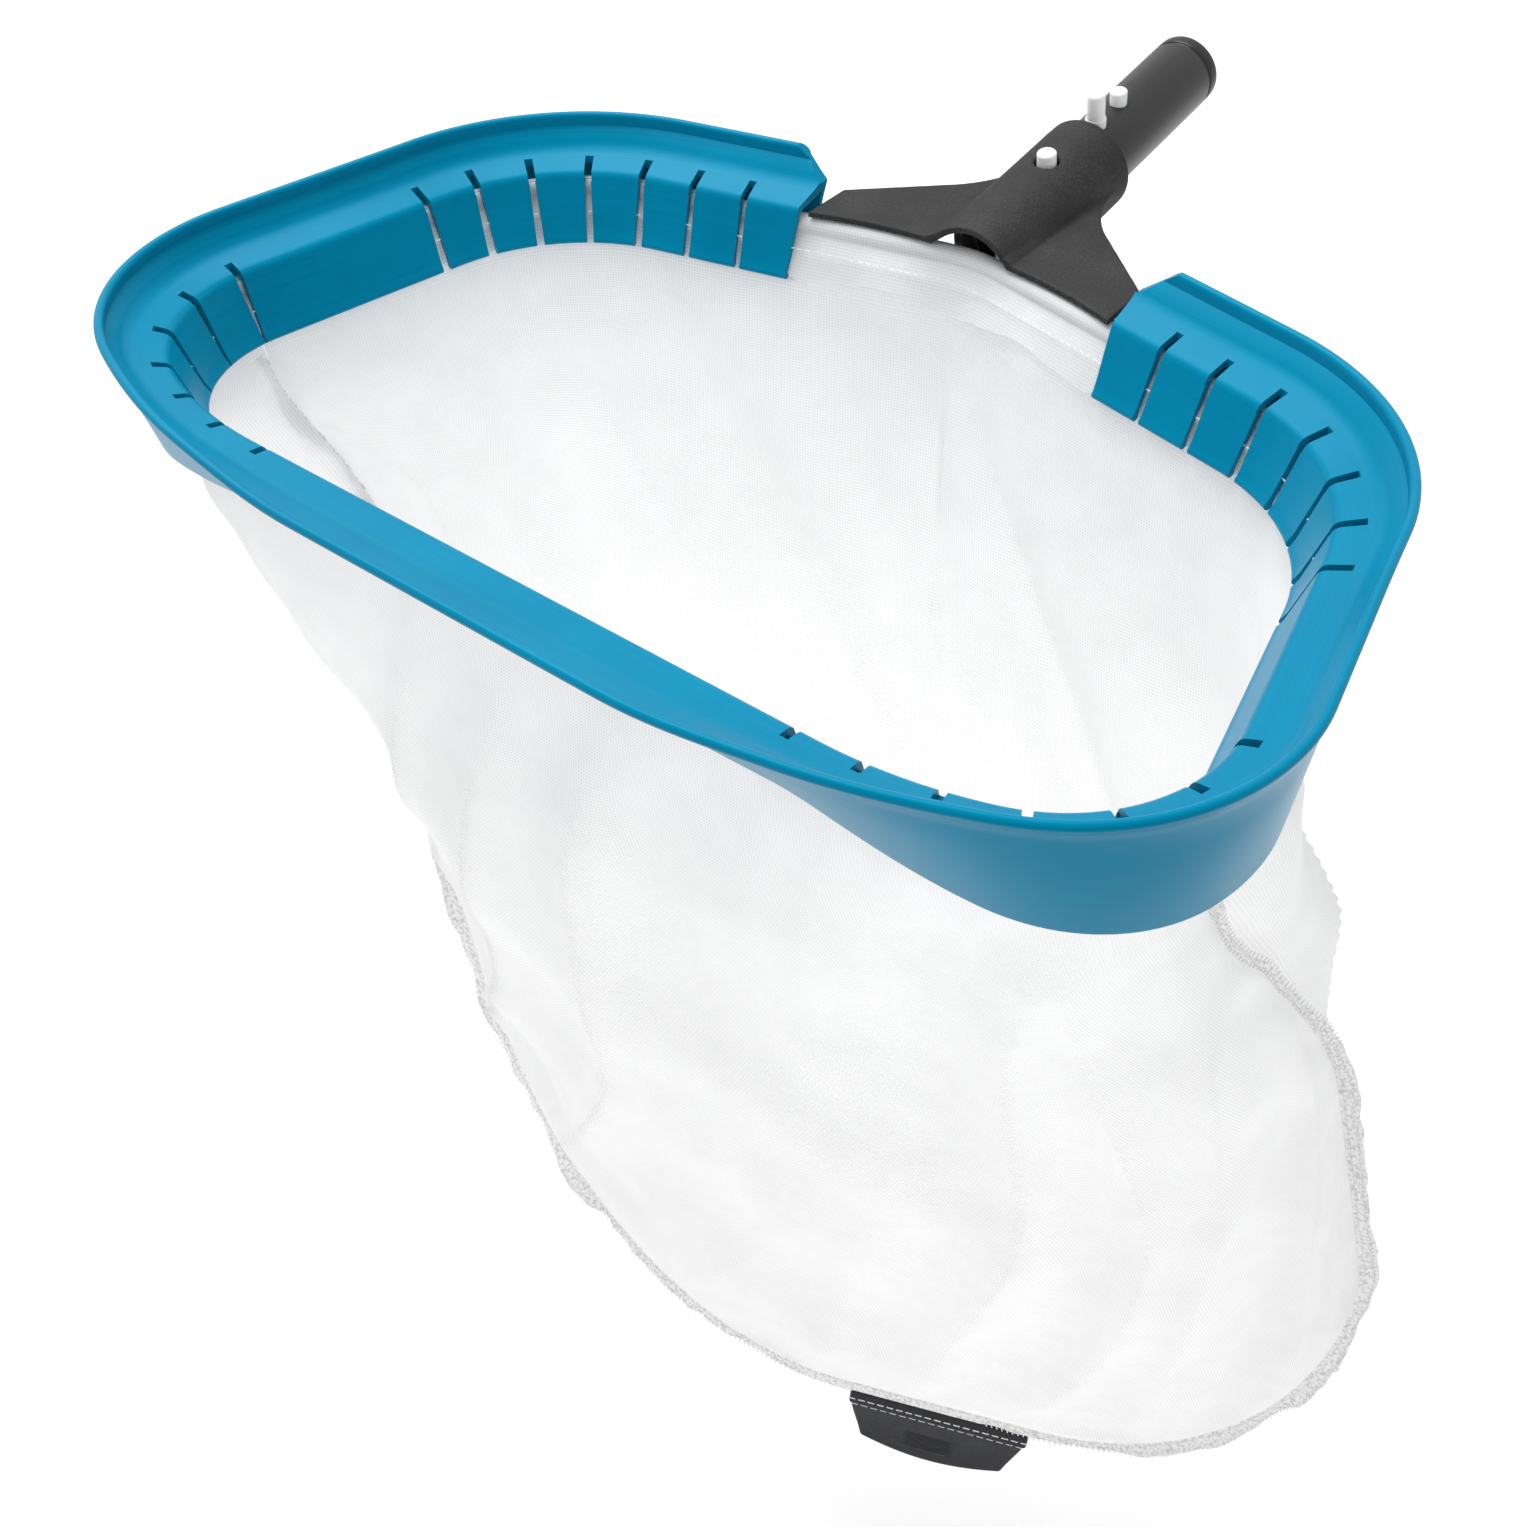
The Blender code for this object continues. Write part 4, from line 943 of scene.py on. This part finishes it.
def seam_frames(points, smooth=24):
    """The outward and sideways directions at each point of the seam."""
    middle = [bag_place(0, 0, min(max((BAG_NECK_Z - p.z) / BAG_DEPTH, 0), 1)) for p in points]
    last = len(points) - 1
    aheads = [(points[min(k + 1, last)] - points[max(k - 1, 0)]).normalized() for k in range(last + 1)]
    outs = []
    for point, centre, ahead in zip(points, middle, aheads):
        lower = max(BAG_NECK_Z - BAG_DEPTH * 0.45 - point.z, 0)
        away = Vector((point.x - centre.x, point.y - centre.y, -1.2 * lower))
        outs.append((away - ahead * away.dot(ahead)).normalized())
    frames = []
    for k, ahead in enumerate(aheads):
        mean = sum(outs[max(k - smooth, 0):k + smooth + 1], Vector())
        out = (mean - ahead * mean.dot(ahead)).normalized()
        frames.append((out, ahead.cross(out).normalized()))
    return frames


seam_points, seam_reach = seam_line()
seam_axes = seam_frames(seam_points)
SEAM_LENGTH = seam_reach[-1]
print("seam:", round(SEAM_LENGTH * 1000), "mm of binding")

# %% The ruffled tape
TAB_HALF, TAPE_WIDTH = 41 * MM, 6.5 * MM


def past_tab(k):
    """How far along the seam that point is beyond the end of the tab's strip."""
    return abs(seam_reach[k] - SEAM_LENGTH / 2) - TAB_HALF


def tape_place(k, across, side=0.0):
    """A place on the ruffled tape: so far out from the seam, and so far off its middle."""
    s = seam_reach[k]
    out, sideways = seam_axes[k]
    calm = smooth_ease(past_tab(k) / (22 * MM))
    grow = max(across, 0) / TAPE_WIDTH
    sway = 5.5 * waver(s * 40, 0.4) + 1.6 * waver(s * 120, 7)
    wander = 3.2 * waver(s * 26, 3.3) + 1.0 * waver(s * 100, 9)
    return (seam_points[k] + out * (across + wander * MM * calm * grow)
            + sideways * (side + sway * MM * calm * grow ** 1.5))


def tape_ring(k):
    """The tape's outline at a point of the seam: a thin strip with a fat bound edge."""
    reach = TAPE_WIDTH * (1 + 0.14 * waver(seam_reach[k] * 60, 5))
    reach += 2 * MM * (1 - smooth_ease(past_tab(k) / (6 * MM)))
    profile = [(-0.2 * MM, 0.35), (1.8 * MM, 0.35), (0.6 * reach, 0.5), (0.84 * reach, 0.85), (reach, 0.5)]
    right = [tape_place(k, a, half * MM) for a, half in profile]
    left = [tape_place(k, a, -half * MM) for a, half in profile]
    return left + right[::-1]


tape = loft([tape_ring(k) for k in range(len(seam_points))], "seam_binding", BINDING, sharp=70)
placed(tape, "skimmer", "seam_tape", "side_seam_left", "side_seam_right", "bottom_seam")
every_third = range(0, len(seam_points), 3)
halves = [[k for k in every_third if side * (seam_reach[k] - SEAM_LENGTH / 2) > TAB_HALF + 2 * MM]
          for side in (-1, 1)]
loops = [[tape_place(k, 0.80 * TAPE_WIDTH, side * 0.9 * MM) for k in half]
         for half in halves for side in (-1, 1)]
locks = sew("seam_overlock", loops, 2.4 * MM, 3.4 * MM, 0.26 * MM, slant=math.radians(68))
placed(locks, "skimmer", "seam_tape")
root_rows = [[tape_place(k, 1.6 * MM, side * 0.5 * MM) for k in every_third] for side in (-1, 1)]
run = sew("seam_running_stitches", root_rows, 3.4 * MM, 2.3 * MM, 0.2 * MM)
placed(run, "skimmer", "seam_tape")

# %% [markdown]
# ## The pull tab
# A vinyl tab hangs from a rolled strip that is sewn over the middle of the bag's foot. Two rows of
# white stitches hold it, and it swings on the roll. Faint ribs are pressed into its middle for
# grip. The tab is a grid of points, thicker at each rib, bent a little and given soft edges.

# %% The rolled strip
FOOT_TURN = Matrix.Rotation(BAG_TWIST, 3, "Z")
FOOT_ALONG = FOOT_TURN @ Vector((math.cos(BAG_TILT), 0, -math.sin(BAG_TILT)))
FOOT_DOWN = FOOT_TURN @ Vector((-math.sin(BAG_TILT), 0, -math.cos(BAG_TILT)))
FOOT_BACK = FOOT_TURN @ Vector((0, 1, 0))
ROLL_R, TAB_WIDTH, TAB_FOOT_WIDTH, TAB_DROP = 3.2 * MM, 80 * MM, 64 * MM, 39 * MM
ROLL_CENTRE = bag_place(0, 0, 1) + FOOT_DOWN * (2.6 * MM + SEAM_WIDTH + 0.3 * MM + ROLL_R)


def foot_point(along, down, back):
    """A point near the roll: along it, down from its centre line and to the back."""
    return ROLL_CENTRE + FOOT_ALONG * along + FOOT_DOWN * down + FOOT_BACK * back


def roll_ring(side, squeeze):
    """The strip's outline: a flattened roll with a lip that laps up over the cloth on each face."""
    ring = []
    for k in range(28):
        angle = math.tau * k / 28
        reach, up = ROLL_R * squeeze, math.sin(angle)
        lap = 5.2 * MM * squeeze * smooth_ease(up) ** 2
        ring.append(foot_point(side, -(reach * up + lap), reach * 0.78 * math.cos(angle)))
    return ring


half_roll = TAB_WIDTH / 2 + 1 * MM
sides = [-half_roll + t * MM for t in (0, 0.25, 0.7, 1.5)]
sides += [-half_roll + (2 * half_roll) * k / 40 for k in range(2, 39)] + [-s for s in sides[::-1]]
squeezes = [0.55, 0.8, 0.94, 1.0] + [1.0] * 37 + [1.0, 0.94, 0.8, 0.55]
strip = loft([roll_ring(s, q) for s, q in zip(sides, squeezes)], "tab_strip_roll", TAB_VINYL, sharp=60)
placed(strip, "skimmer", "tab_vinyl", "tab_strip")


def sewn_row(name, half_length, down, backs, body):
    """A straight row of stitches on each face, along the roll."""
    rows = [[foot_point(half_length * (t / 20 - 1), down, back) for t in range(41)] for back in backs]
    placed(sew(name, rows, 4.4 * MM, 3.1 * MM, 0.3 * MM), body, "tab_vinyl")


sewn_row("tab_strip_stitches", 0.97 * half_roll, -3.2 * MM, (-2.3 * MM, 2.3 * MM), "skimmer")

# %% The tab
TAB_THICK, TAB_TOP = 2 * MM, ROLL_R + 0.5 * MM
TAB_ROWS, TAB_COLUMNS = 60, 80
EDGE_ROUND, RIB_PITCH, RIB_RISE = 0.9 * MM, 2.1 * MM, 0.24 * MM


def tab_half_width(drop):
    """Half the tab's width that far under the roll: straight-sided, then drawn in to the foot."""
    share = smooth_ease(drop / TAB_DROP) * 0.5 + 0.5 * drop / TAB_DROP
    return (TAB_WIDTH + (TAB_FOOT_WIDTH - TAB_WIDTH) * share) / 2


def tab_face(side):
    """The grid of points of one face of the tab. Side is -1 in front and 1 behind."""
    rows = []
    for r in range(TAB_ROWS + 1):
        row = []
        for k in range(TAB_COLUMNS + 1):
            t = 2 * k / TAB_COLUMNS - 1
            drop = (TAB_DROP - 9 * MM * t * t) * r / TAB_ROWS
            x = tab_half_width(drop) * t
            to_edge = min((1 - abs(t)) * tab_half_width(drop), (1 - r / TAB_ROWS) * TAB_DROP, EDGE_ROUND)
            edge = to_edge / EDGE_ROUND
            half = TAB_THICK / 2 * (0.35 + 0.65 * math.sqrt(max(edge * (2 - edge), 0)))
            ribbed = smooth_ease((13 * MM - abs(x + 2 * MM)) / (3 * MM))
            ribbed *= smooth_ease((drop - 14 * MM) / (2 * MM)) * smooth_ease((31 * MM - drop) / (2 * MM))
            half += RIB_RISE * ribbed * math.cos(math.tau * drop / RIB_PITCH)
            half *= 1 - 0.25 * math.exp(-drop / (2.2 * MM))
            curl = 0.9 * MM * math.sin(math.pi * drop / TAB_DROP) - 0.7 * MM * t * t * drop / TAB_DROP
            row.append(foot_point(x, TAB_TOP + drop, side * half + curl))
        rows.append(row)
    return rows


tab = slab([tab_face(-1), tab_face(1)], "pull_tab_leaf", TAB_VINYL, sharp=50)
placed(tab, "tab", "tab_vinyl", "pull_tab")
sewn_row("pull_tab_stitches", 0.96 * tab_half_width(0.9 * MM), TAB_TOP + 0.9 * MM,
         (-0.79 * MM, 0.91 * MM), "tab")

# %% [markdown]
# ## The yoke
# The yoke is one moulding: two wings that drape over the rod, and a collar that the handle tube
# slides into. Drawing it as a sheet that rises over a cylinder gives the smooth fillets of a
# moulding. The parts are joined by Booleans, then a voxel remesh and some smoothing round every
# edge a little, as the mould does.

# %% Sizes along the handle
PITCH = math.radians(9)
AXIS = Vector((0, math.cos(PITCH), math.sin(PITCH)))
ACROSS = Vector((0, -math.sin(PITCH), math.cos(PITCH)))
UP = Vector((0, 0, 1))
PLATE, WING_END_X = 2.5 * MM, 66 * MM
FRONT_EDGE_Y, WING_FRONT_DROP, WING_CHORD = -75 * MM, 12 * MM, 23 * MM
COLLAR_R, BORE_R, COLLAR_FROM, COLLAR_TO = 19 * MM, 14.8 * MM, -58 * MM, 8 * MM
BUTTON_AT, FINGER_AT, LOCK_AT = -22 * MM, 12.8 * MM, 29.5 * MM
BUTTON_R, FINGER_R, LOCK_R = 3.75 * MM, 4.1 * MM, 3.4 * MM
CLAMP_TOP_Z, CLAMP_THICK = -12.2 * MM, 3 * MM
SCREW_X = (30 * MM, 54 * MM)
SCREW_R, SCREW_LINE = 1.6 * MM, ROD_OFFSET + 10.5 * MM


def handle_point(along, away=0.0, side=0.0):
    """A point along the handle's centre line, up from it and to the side."""
    return AXIS * along + ACROSS * away + Vector((side, 0, 0))


def screw_place(x):
    """Where a screw stands on plan, behind the rod."""
    point = from_edge(edge_length_to_x(abs(x), SCREW_LINE), SCREW_LINE, 0)
    return Vector((math.copysign(point.x, x), point.y, 0))


SCREW_PLACES = [screw_place(x) for x in (-SCREW_X[1], -SCREW_X[0], *SCREW_X)]


def screw_pegs(radius, length, base_z, sides):
    """A peg straight up at each screw."""
    return [peg(radius, length, p + Vector((0, 0, base_z)), UP, sides) for p in SCREW_PLACES]


print("screws at X", [round(p.x * 1000) for p in SCREW_PLACES], "mm")

# %% The yoke's sheet and outline
WING_TOP_Z = ROD_Z + 4.1 * MM + 0.3 * MM + PLATE


def drape(x, y, radius, plate_z, ease=5 * MM):
    """The height of a plate that lifts smoothly over a cylinder on the handle's centre line."""
    axis_z = y * math.tan(PITCH)
    reach = radius * radius - x * x
    crown = axis_z + (math.sqrt(reach) / math.cos(PITCH) if reach > 0 else -radius)
    high, low = max(crown, plate_z), min(crown, plate_z)
    return high + ease * math.log1p(math.exp((low - high) / ease)) * 0.6


def wing_face(radius, plate_z, columns=110, rows=50):
    """One face of the draped plate, wider than the yoke."""
    return [[(x, y, drape(x, y, radius, plate_z))
             for x in (70 * MM * (i / (columns / 2) - 1) for i in range(columns + 1))]
            for y in (-90 * MM + 94 * MM * j / rows for j in range(rows + 1))]


def yoke_outline():
    """The yoke from above: a bowed front edge, square tips and back edges that sweep into the collar."""
    bow = (WING_END_X ** 2 + WING_FRONT_DROP ** 2) / (2 * WING_FRONT_DROP)
    front = [(x, FRONT_EDGE_Y - bow + math.sqrt(bow ** 2 - x ** 2))
             for x in (WING_END_X * (k / 15 - 1) for k in range(31))]
    sweep_r = 47.8 * MM
    back = [(WING_END_X, FRONT_EDGE_Y - WING_FRONT_DROP + WING_CHORD)]
    for k in range(17):
        angle = math.radians(48) * (1 - k / 16)
        back.append((COLLAR_R + sweep_r * (1 - math.cos(angle)), -sweep_r * math.sin(angle)))
    return front + back + [(-x, y) for x, y in reversed(back)]


faces = [wing_face(COLLAR_R, WING_TOP_Z), wing_face(COLLAR_R - PLATE, WING_TOP_Z - PLATE)]
yoke = slab(faces, "yoke_body", YOKE_BLACK, triangles=True)
cut(yoke, [prism(yoke_outline(), -60 * MM, 60 * MM)], "INTERSECT")
print("yoke's wings:", len(yoke.data.polygons), "faces")

# %% The collar, the bosses and the holes
boss_foot = CLAMP_TOP_Z + 0.3 * MM
cut(yoke, screw_pegs(4 * MM, WING_TOP_Z - 1 * MM - CLAMP_TOP_Z - 0.3 * MM, boss_foot, 24), "UNION")
collar_long = COLLAR_TO - COLLAR_FROM
cut(yoke, [turned([(0, COLLAR_R - 0.6 * MM), (0.6 * MM, COLLAR_R), (collar_long - 1.2 * MM, COLLAR_R),
                   (collar_long, COLLAR_R - 1.2 * MM)], AXIS * COLLAR_FROM, AXIS, 96)], "UNION")
cut(yoke, [peg(BORE_R, 140 * MM, AXIS * -100 * MM, AXIS, 96)])
recess = [(0, BUTTON_R + 1.1 * MM), (COLLAR_R - 11 * MM, BUTTON_R + 1.1 * MM),
          (COLLAR_R - 8 * MM, BUTTON_R + 3 * MM)]
holes = [turned(recess, handle_point(BUTTON_AT, side * 10 * MM), ACROSS * side) for side in (-1, 1)]
cut(yoke, holes + screw_pegs(SCREW_R, 7 * MM, CLAMP_TOP_Z - 1 * MM, 20))
modify(yoke, "REMESH", mode="VOXEL", voxel_size=0.62 * MM)
modify(yoke, "SMOOTH", factor=0.5, iterations=5)
modify(yoke, "DECIMATE", ratio=0.6)
applied(yoke, 180)
placed(yoke, "skimmer", "yoke_nylon", "yoke")

# %% [markdown]
# The clamp plate is cut from the same black nylon and closes the underside. Its screws repeat, so
# Geometry Nodes set one pan-head screw on each of four points.

# %% The clamp plate
def clamp_outline():
    """The plate from above, bowed like the yoke's front edge."""
    front, back = [], []
    for k in range(31):
        x = (WING_END_X - 3 * MM) * (k / 15 - 1)
        edge = from_edge(edge_length_to_x(abs(x), ROD_OFFSET), ROD_OFFSET, 0)
        front.append((x, edge.y + 4.5 * MM))
        back.append((x, edge.y + 15.5 * MM))
    return front + back[::-1]


clamp = prism(clamp_outline(), CLAMP_TOP_Z - CLAMP_THICK, CLAMP_TOP_Z, "clamp_bar", YOKE_BLACK)
notch_half, notch_y = COLLAR_R + 1 * MM, COLLAR_FROM - 1 * MM
notch = [(-notch_half, notch_y), (notch_half, notch_y), (notch_half, 0), (-notch_half, 0)]
cut(clamp, [prism(notch, -40 * MM, 0)])
cut(clamp, screw_pegs(SCREW_R + 0.3 * MM, 12 * MM, CLAMP_TOP_Z - 6 * MM, 24))
modify(clamp, "BEVEL", width=0.5 * MM, segments=3, limit_method="ANGLE", angle_limit=math.radians(50))
placed(applied(clamp, 30), "skimmer", "yoke_nylon", "clamp_plate")

# %% The screws
def screw_tree(head):
    """The head's mesh set on each point."""
    tree, ends, keys = geometry_tree("screws", {"Size": 1.0})
    screw = add(tree, "GeometryNodeObjectInfo", {"Object": head}).outputs["Geometry"]
    points = add(tree, "GeometryNodeMeshToPoints", {"Mesh": ends["Geometry"]}).outputs[0]
    lay(tree, points, screw, SCREW_METAL, Scale=ends["Size"])
    return tree, keys


PAN_HEAD = [(-10, 1.2), (-9, 1.45), (0, 1.45), (0.01, 3.3), (0.9, 3.3),
            (1.4, 3.05), (1.75, 2.5), (1.95, 1.6), (2, 0.6)]
one_screw = turned([(h * MM, r * MM) for h, r in PAN_HEAD], (0, 0, 0), -UP, 32, "one_screw", SCREW_METAL)
for a, b in ((2 * MM, 0.42 * MM), (0.42 * MM, 2 * MM)):
    cut(one_screw, [prism([(-a, -b), (a, -b), (a, b), (-a, b)], -3 * MM, -0.9 * MM)])
head_z = CLAMP_TOP_Z - CLAMP_THICK - 0.1 * MM
dots = bpy.data.meshes.new("clamp_screws")
dots.from_pydata([tuple(p + Vector((0, 0, head_z))) for p in SCREW_PLACES], [], [])
SCREW_TREE, SIZE_KEYS = screw_tree(one_screw)
screws = grown("clamp_screws", dots, SCREW_METAL, SCREW_TREE, SIZE_KEYS, {"Size": 1.0}, 35)
bpy.data.objects.remove(one_screw)
placed(screws, "skimmer", "screw_steel", *(f"clamp_screw_{n}" for n in (1, 2, 3, 4)))

# %% [markdown]
# ## The handle tube
# The tube is a lathe shape with a groove near its open end, where a line of shadow shows, and
# round holes for the pins. Turning a profile and cutting the holes gives clean round edges.

# %% The tube
TUBE_R, TUBE_BORE_R, TUBE_FROM, TUBE_TO = 14.5 * MM, 12 * MM, -52 * MM, 83.4 * MM
GROOVE_AND_END = [  # (back from the open end, in from the outside), in millimetres
    (7.3, 0), (6.9, 0.15), (6.6, 0.6), (6.2, 0.75), (5.8, 0.6), (5.5, 0.2), (5.1, 0.05),
    (1.2, 0.15), (0.5, 0.4), (0.1, 0.9), (0, 1.3),
]
tube_long = TUBE_TO - TUBE_FROM
tube_profile = [(0, TUBE_BORE_R), (0, TUBE_R - 0.3 * MM), (0.4 * MM, TUBE_R)]
tube_profile += [(tube_long - back * MM, TUBE_R - deep * MM) for back, deep in GROOVE_AND_END]
tube_profile += [(tube_long, TUBE_BORE_R + 0.4 * MM), (tube_long - 0.4 * MM, TUBE_BORE_R)]
tube = turned(tube_profile, AXIS * TUBE_FROM, AXIS, 96, "handle_tube_body", TUBE_BLACK, looped=True)
pin_holes = [(BUTTON_AT, BUTTON_R), (FINGER_AT, FINGER_R), (LOCK_AT, LOCK_R)]
cut(tube, [peg(r + 0.3 * MM, 9 * MM, handle_point(at, side * 8 * MM), ACROSS * side, 40)
           for side in (-1, 1) for at, r in pin_holes], sharp=25)
placed(tube, "skimmer", "tube_plastic", "handle_tube")

# %% [markdown]
# ## Spring clips
# Each clip is a bow of white nylon across the tube whose two arms carry pins out through the wall.
# The pins are pressed in to free the handle, so each arm with its pins is a piece of its own on
# its own body. A turned pin with a domed end joined to a flat arm is all it needs.

# %% Arms and pins
ARM_MID_R, ARM_WIDE, ARM_THICK = 10.5 * MM, 8 * MM, 2.2 * MM
PIN_FOOT = ARM_MID_R - 0.4 * MM


def dome(radius, top, high, share):
    """A pin's rounded end, that high, where the radius falls by that share."""
    return [(top - high + high * math.sin(a), radius - share * radius * (1 - math.cos(a)))
            for a in (math.radians(t) for t in range(0, 91, 15))]


def domed(radius, top):
    """A pin's outline from its arm to its domed end."""
    return [(PIN_FOOT, radius)] + dome(radius, top, 1.1 * MM, 0.55)


def stepped(foot_radius, radius, top):
    """The tall finger pin: a collar at its foot, a slight step and a domed end."""
    step = 17.2 * MM
    return [(PIN_FOOT, foot_radius), (step - 0.3 * MM, foot_radius), (step, foot_radius - 0.15 * MM),
            (step + 0.25 * MM, foot_radius - 0.45 * MM),
            (step + 0.6 * MM, radius + 0.1 * MM)] + dome(radius, top, 1.8 * MM, 0.6)


def spring_arm(name, bow_at, to, side, pins):
    """A flat arm under the tube's wall and its pins."""
    wide, thick = ARM_WIDE / 2, ARM_THICK / 2
    section = [(-wide, -thick), (wide, -thick), (wide - 1.6 * MM, thick), (1.6 * MM - wide, thick)]
    arm = loft([[handle_point(along, side * (ARM_MID_R + y), x) for x, y in section]
                for along in (bow_at + 1.6 * MM, to)], name, PIN_WHITE)
    for at, outline in pins:
        cut(arm, [turned([(h - PIN_FOOT, r) for h, r in outline], handle_point(at, side * PIN_FOOT),
                         ACROSS * side, 40)], "UNION", sharp=30)
    return arm


def bow(name, at):
    """The bow of a clip, across the tube."""
    back, front = at - 5.5 * MM, at + 1.3 * MM
    reach = math.sqrt((12 * MM - 0.3 * MM) ** 2 - (4 * MM) ** 2) - 0.1 * MM
    inner = ARM_MID_R - 1.6 * MM
    outer = [(back, -reach), (back, reach), (front, reach), (front, -reach)]
    hollow = [(back + 2.4 * MM, -inner), (back + 2.4 * MM, inner),
              (front + 3 * MM, inner), (front + 3 * MM, -inner)]
    made = loft([[handle_point(a, b, x) for a, b in outer] for x in (-4 * MM, 4 * MM)], name, PIN_WHITE)
    cut(made, [loft([[handle_point(a, b, x) for a, b in hollow] for x in (-6 * MM, 6 * MM)])])
    modify(made, "BEVEL", width=0.35 * MM, segments=3, limit_method="ANGLE")
    return applied(made, 30)


print("foot of each pin:", round(PIN_FOOT * 1000, 1), "mm from the centre line")

# %% Both clips
COLLAR_BOW_AT, POLE_BOW_AT = -46 * MM, -5 * MM
placed(bow("collar_clip_bow", COLLAR_BOW_AT), "skimmer", "pin_nylon", "collar_clip")
placed(bow("pole_clip_bow", POLE_BOW_AT), "skimmer", "pin_nylon", "pole_clip")
for side, word in ((1, "upper"), (-1, "lower")):
    button = spring_arm(f"{word}_button_arm", COLLAR_BOW_AT, BUTTON_AT + 5 * MM, side,
                        [(BUTTON_AT, domed(BUTTON_R, 22.6 * MM))])
    placed(button, f"{word}_collar_button", "pin_nylon", f"{word}_collar_button")
    pins = [(FINGER_AT, stepped(FINGER_R, 3.5 * MM, 28 * MM)), (LOCK_AT, domed(LOCK_R, 20 * MM))]
    pole = spring_arm(f"{word}_finger_arm", POLE_BOW_AT, LOCK_AT + 5 * MM, side, pins)
    placed(pole, f"{word}_pole_arm", "pin_nylon", f"{word}_pole_arm")

# %% [markdown]
# ## Floor, light and camera
# A product shot on white: a pale floor that runs far back, a bright even sky, and one large
# soft lamp overhead, so highlights are broad and shadows are faint.

# %% The stage
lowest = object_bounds()[0].z


def studio_white():
    """A matt pale floor."""
    made, tree, where = new_material("studio_white")
    colour = ramp(tree, cloud(tree, where, 2, 2), [(0.3, "#FAFAFA"), (0.7, "#FDFDFD")])
    return principled(made, {"Base Color": colour, "Roughness": 0.9})


bm = bmesh.new()
bmesh.ops.create_circle(bm, cap_ends=True, radius=12, segments=64)
floor = from_bmesh("floor", bm, studio_white(), outward=False)
floor.location.z = lowest - 120 * MM

sky = bpy.data.worlds.new("studio")
bpy.context.scene.world = sky
sky.use_nodes = True
backdrop = sky.node_tree.nodes["Background"].inputs
backdrop["Color"].default_value = linear("#FFFFFF")
backdrop["Strength"].default_value = 0.74
light = bpy.data.lights.new("key", "AREA")
light.size, light.energy = 1.6, 56
key = bpy.data.objects.new("key", light)
key.location = (-0.9, 0.1, 2.0)
key.rotation_euler = (Vector((0, -0.15, -0.15)) - key.location).to_track_quat("-Z", "Y").to_euler()
bpy.context.scene.collection.objects.link(key)
print("floor at", round(floor.location.z * 1000), "mm")

# %% [markdown]
# The camera looks down from the front right, close enough that the near corner looks large.

# %% The camera
AZIMUTH, ELEVATION, ROLL = math.radians(39.8), math.radians(44.39), math.radians(-1.57)
back_of_view = Vector((
    math.sin(AZIMUTH) * math.cos(ELEVATION), -math.cos(AZIMUTH) * math.cos(ELEVATION), math.sin(ELEVATION)))
level = Vector((math.cos(AZIMUTH), math.sin(AZIMUTH), 0))
upright = back_of_view.cross(level)
right = level * math.cos(ROLL) + upright * math.sin(ROLL)
up = upright * math.cos(ROLL) - level * math.sin(ROLL)
lens = bpy.data.cameras.new("camera")
lens.lens, lens.sensor_width = 42.23, 36
camera = bpy.data.objects.new("camera", lens)
turned_to = Matrix((right, up, back_of_view)).transposed().to_4x4()
camera.matrix_world = Matrix.Translation((0.3231, -0.5892, 0.3276)) @ turned_to
bpy.context.scene.collection.objects.link(camera)
bpy.context.scene.camera = camera
bpy.context.scene.view_settings.view_transform = "Standard"
bpy.context.scene.view_settings.look = "None"
print("lens:", round(lens.lens, 2), "mm")
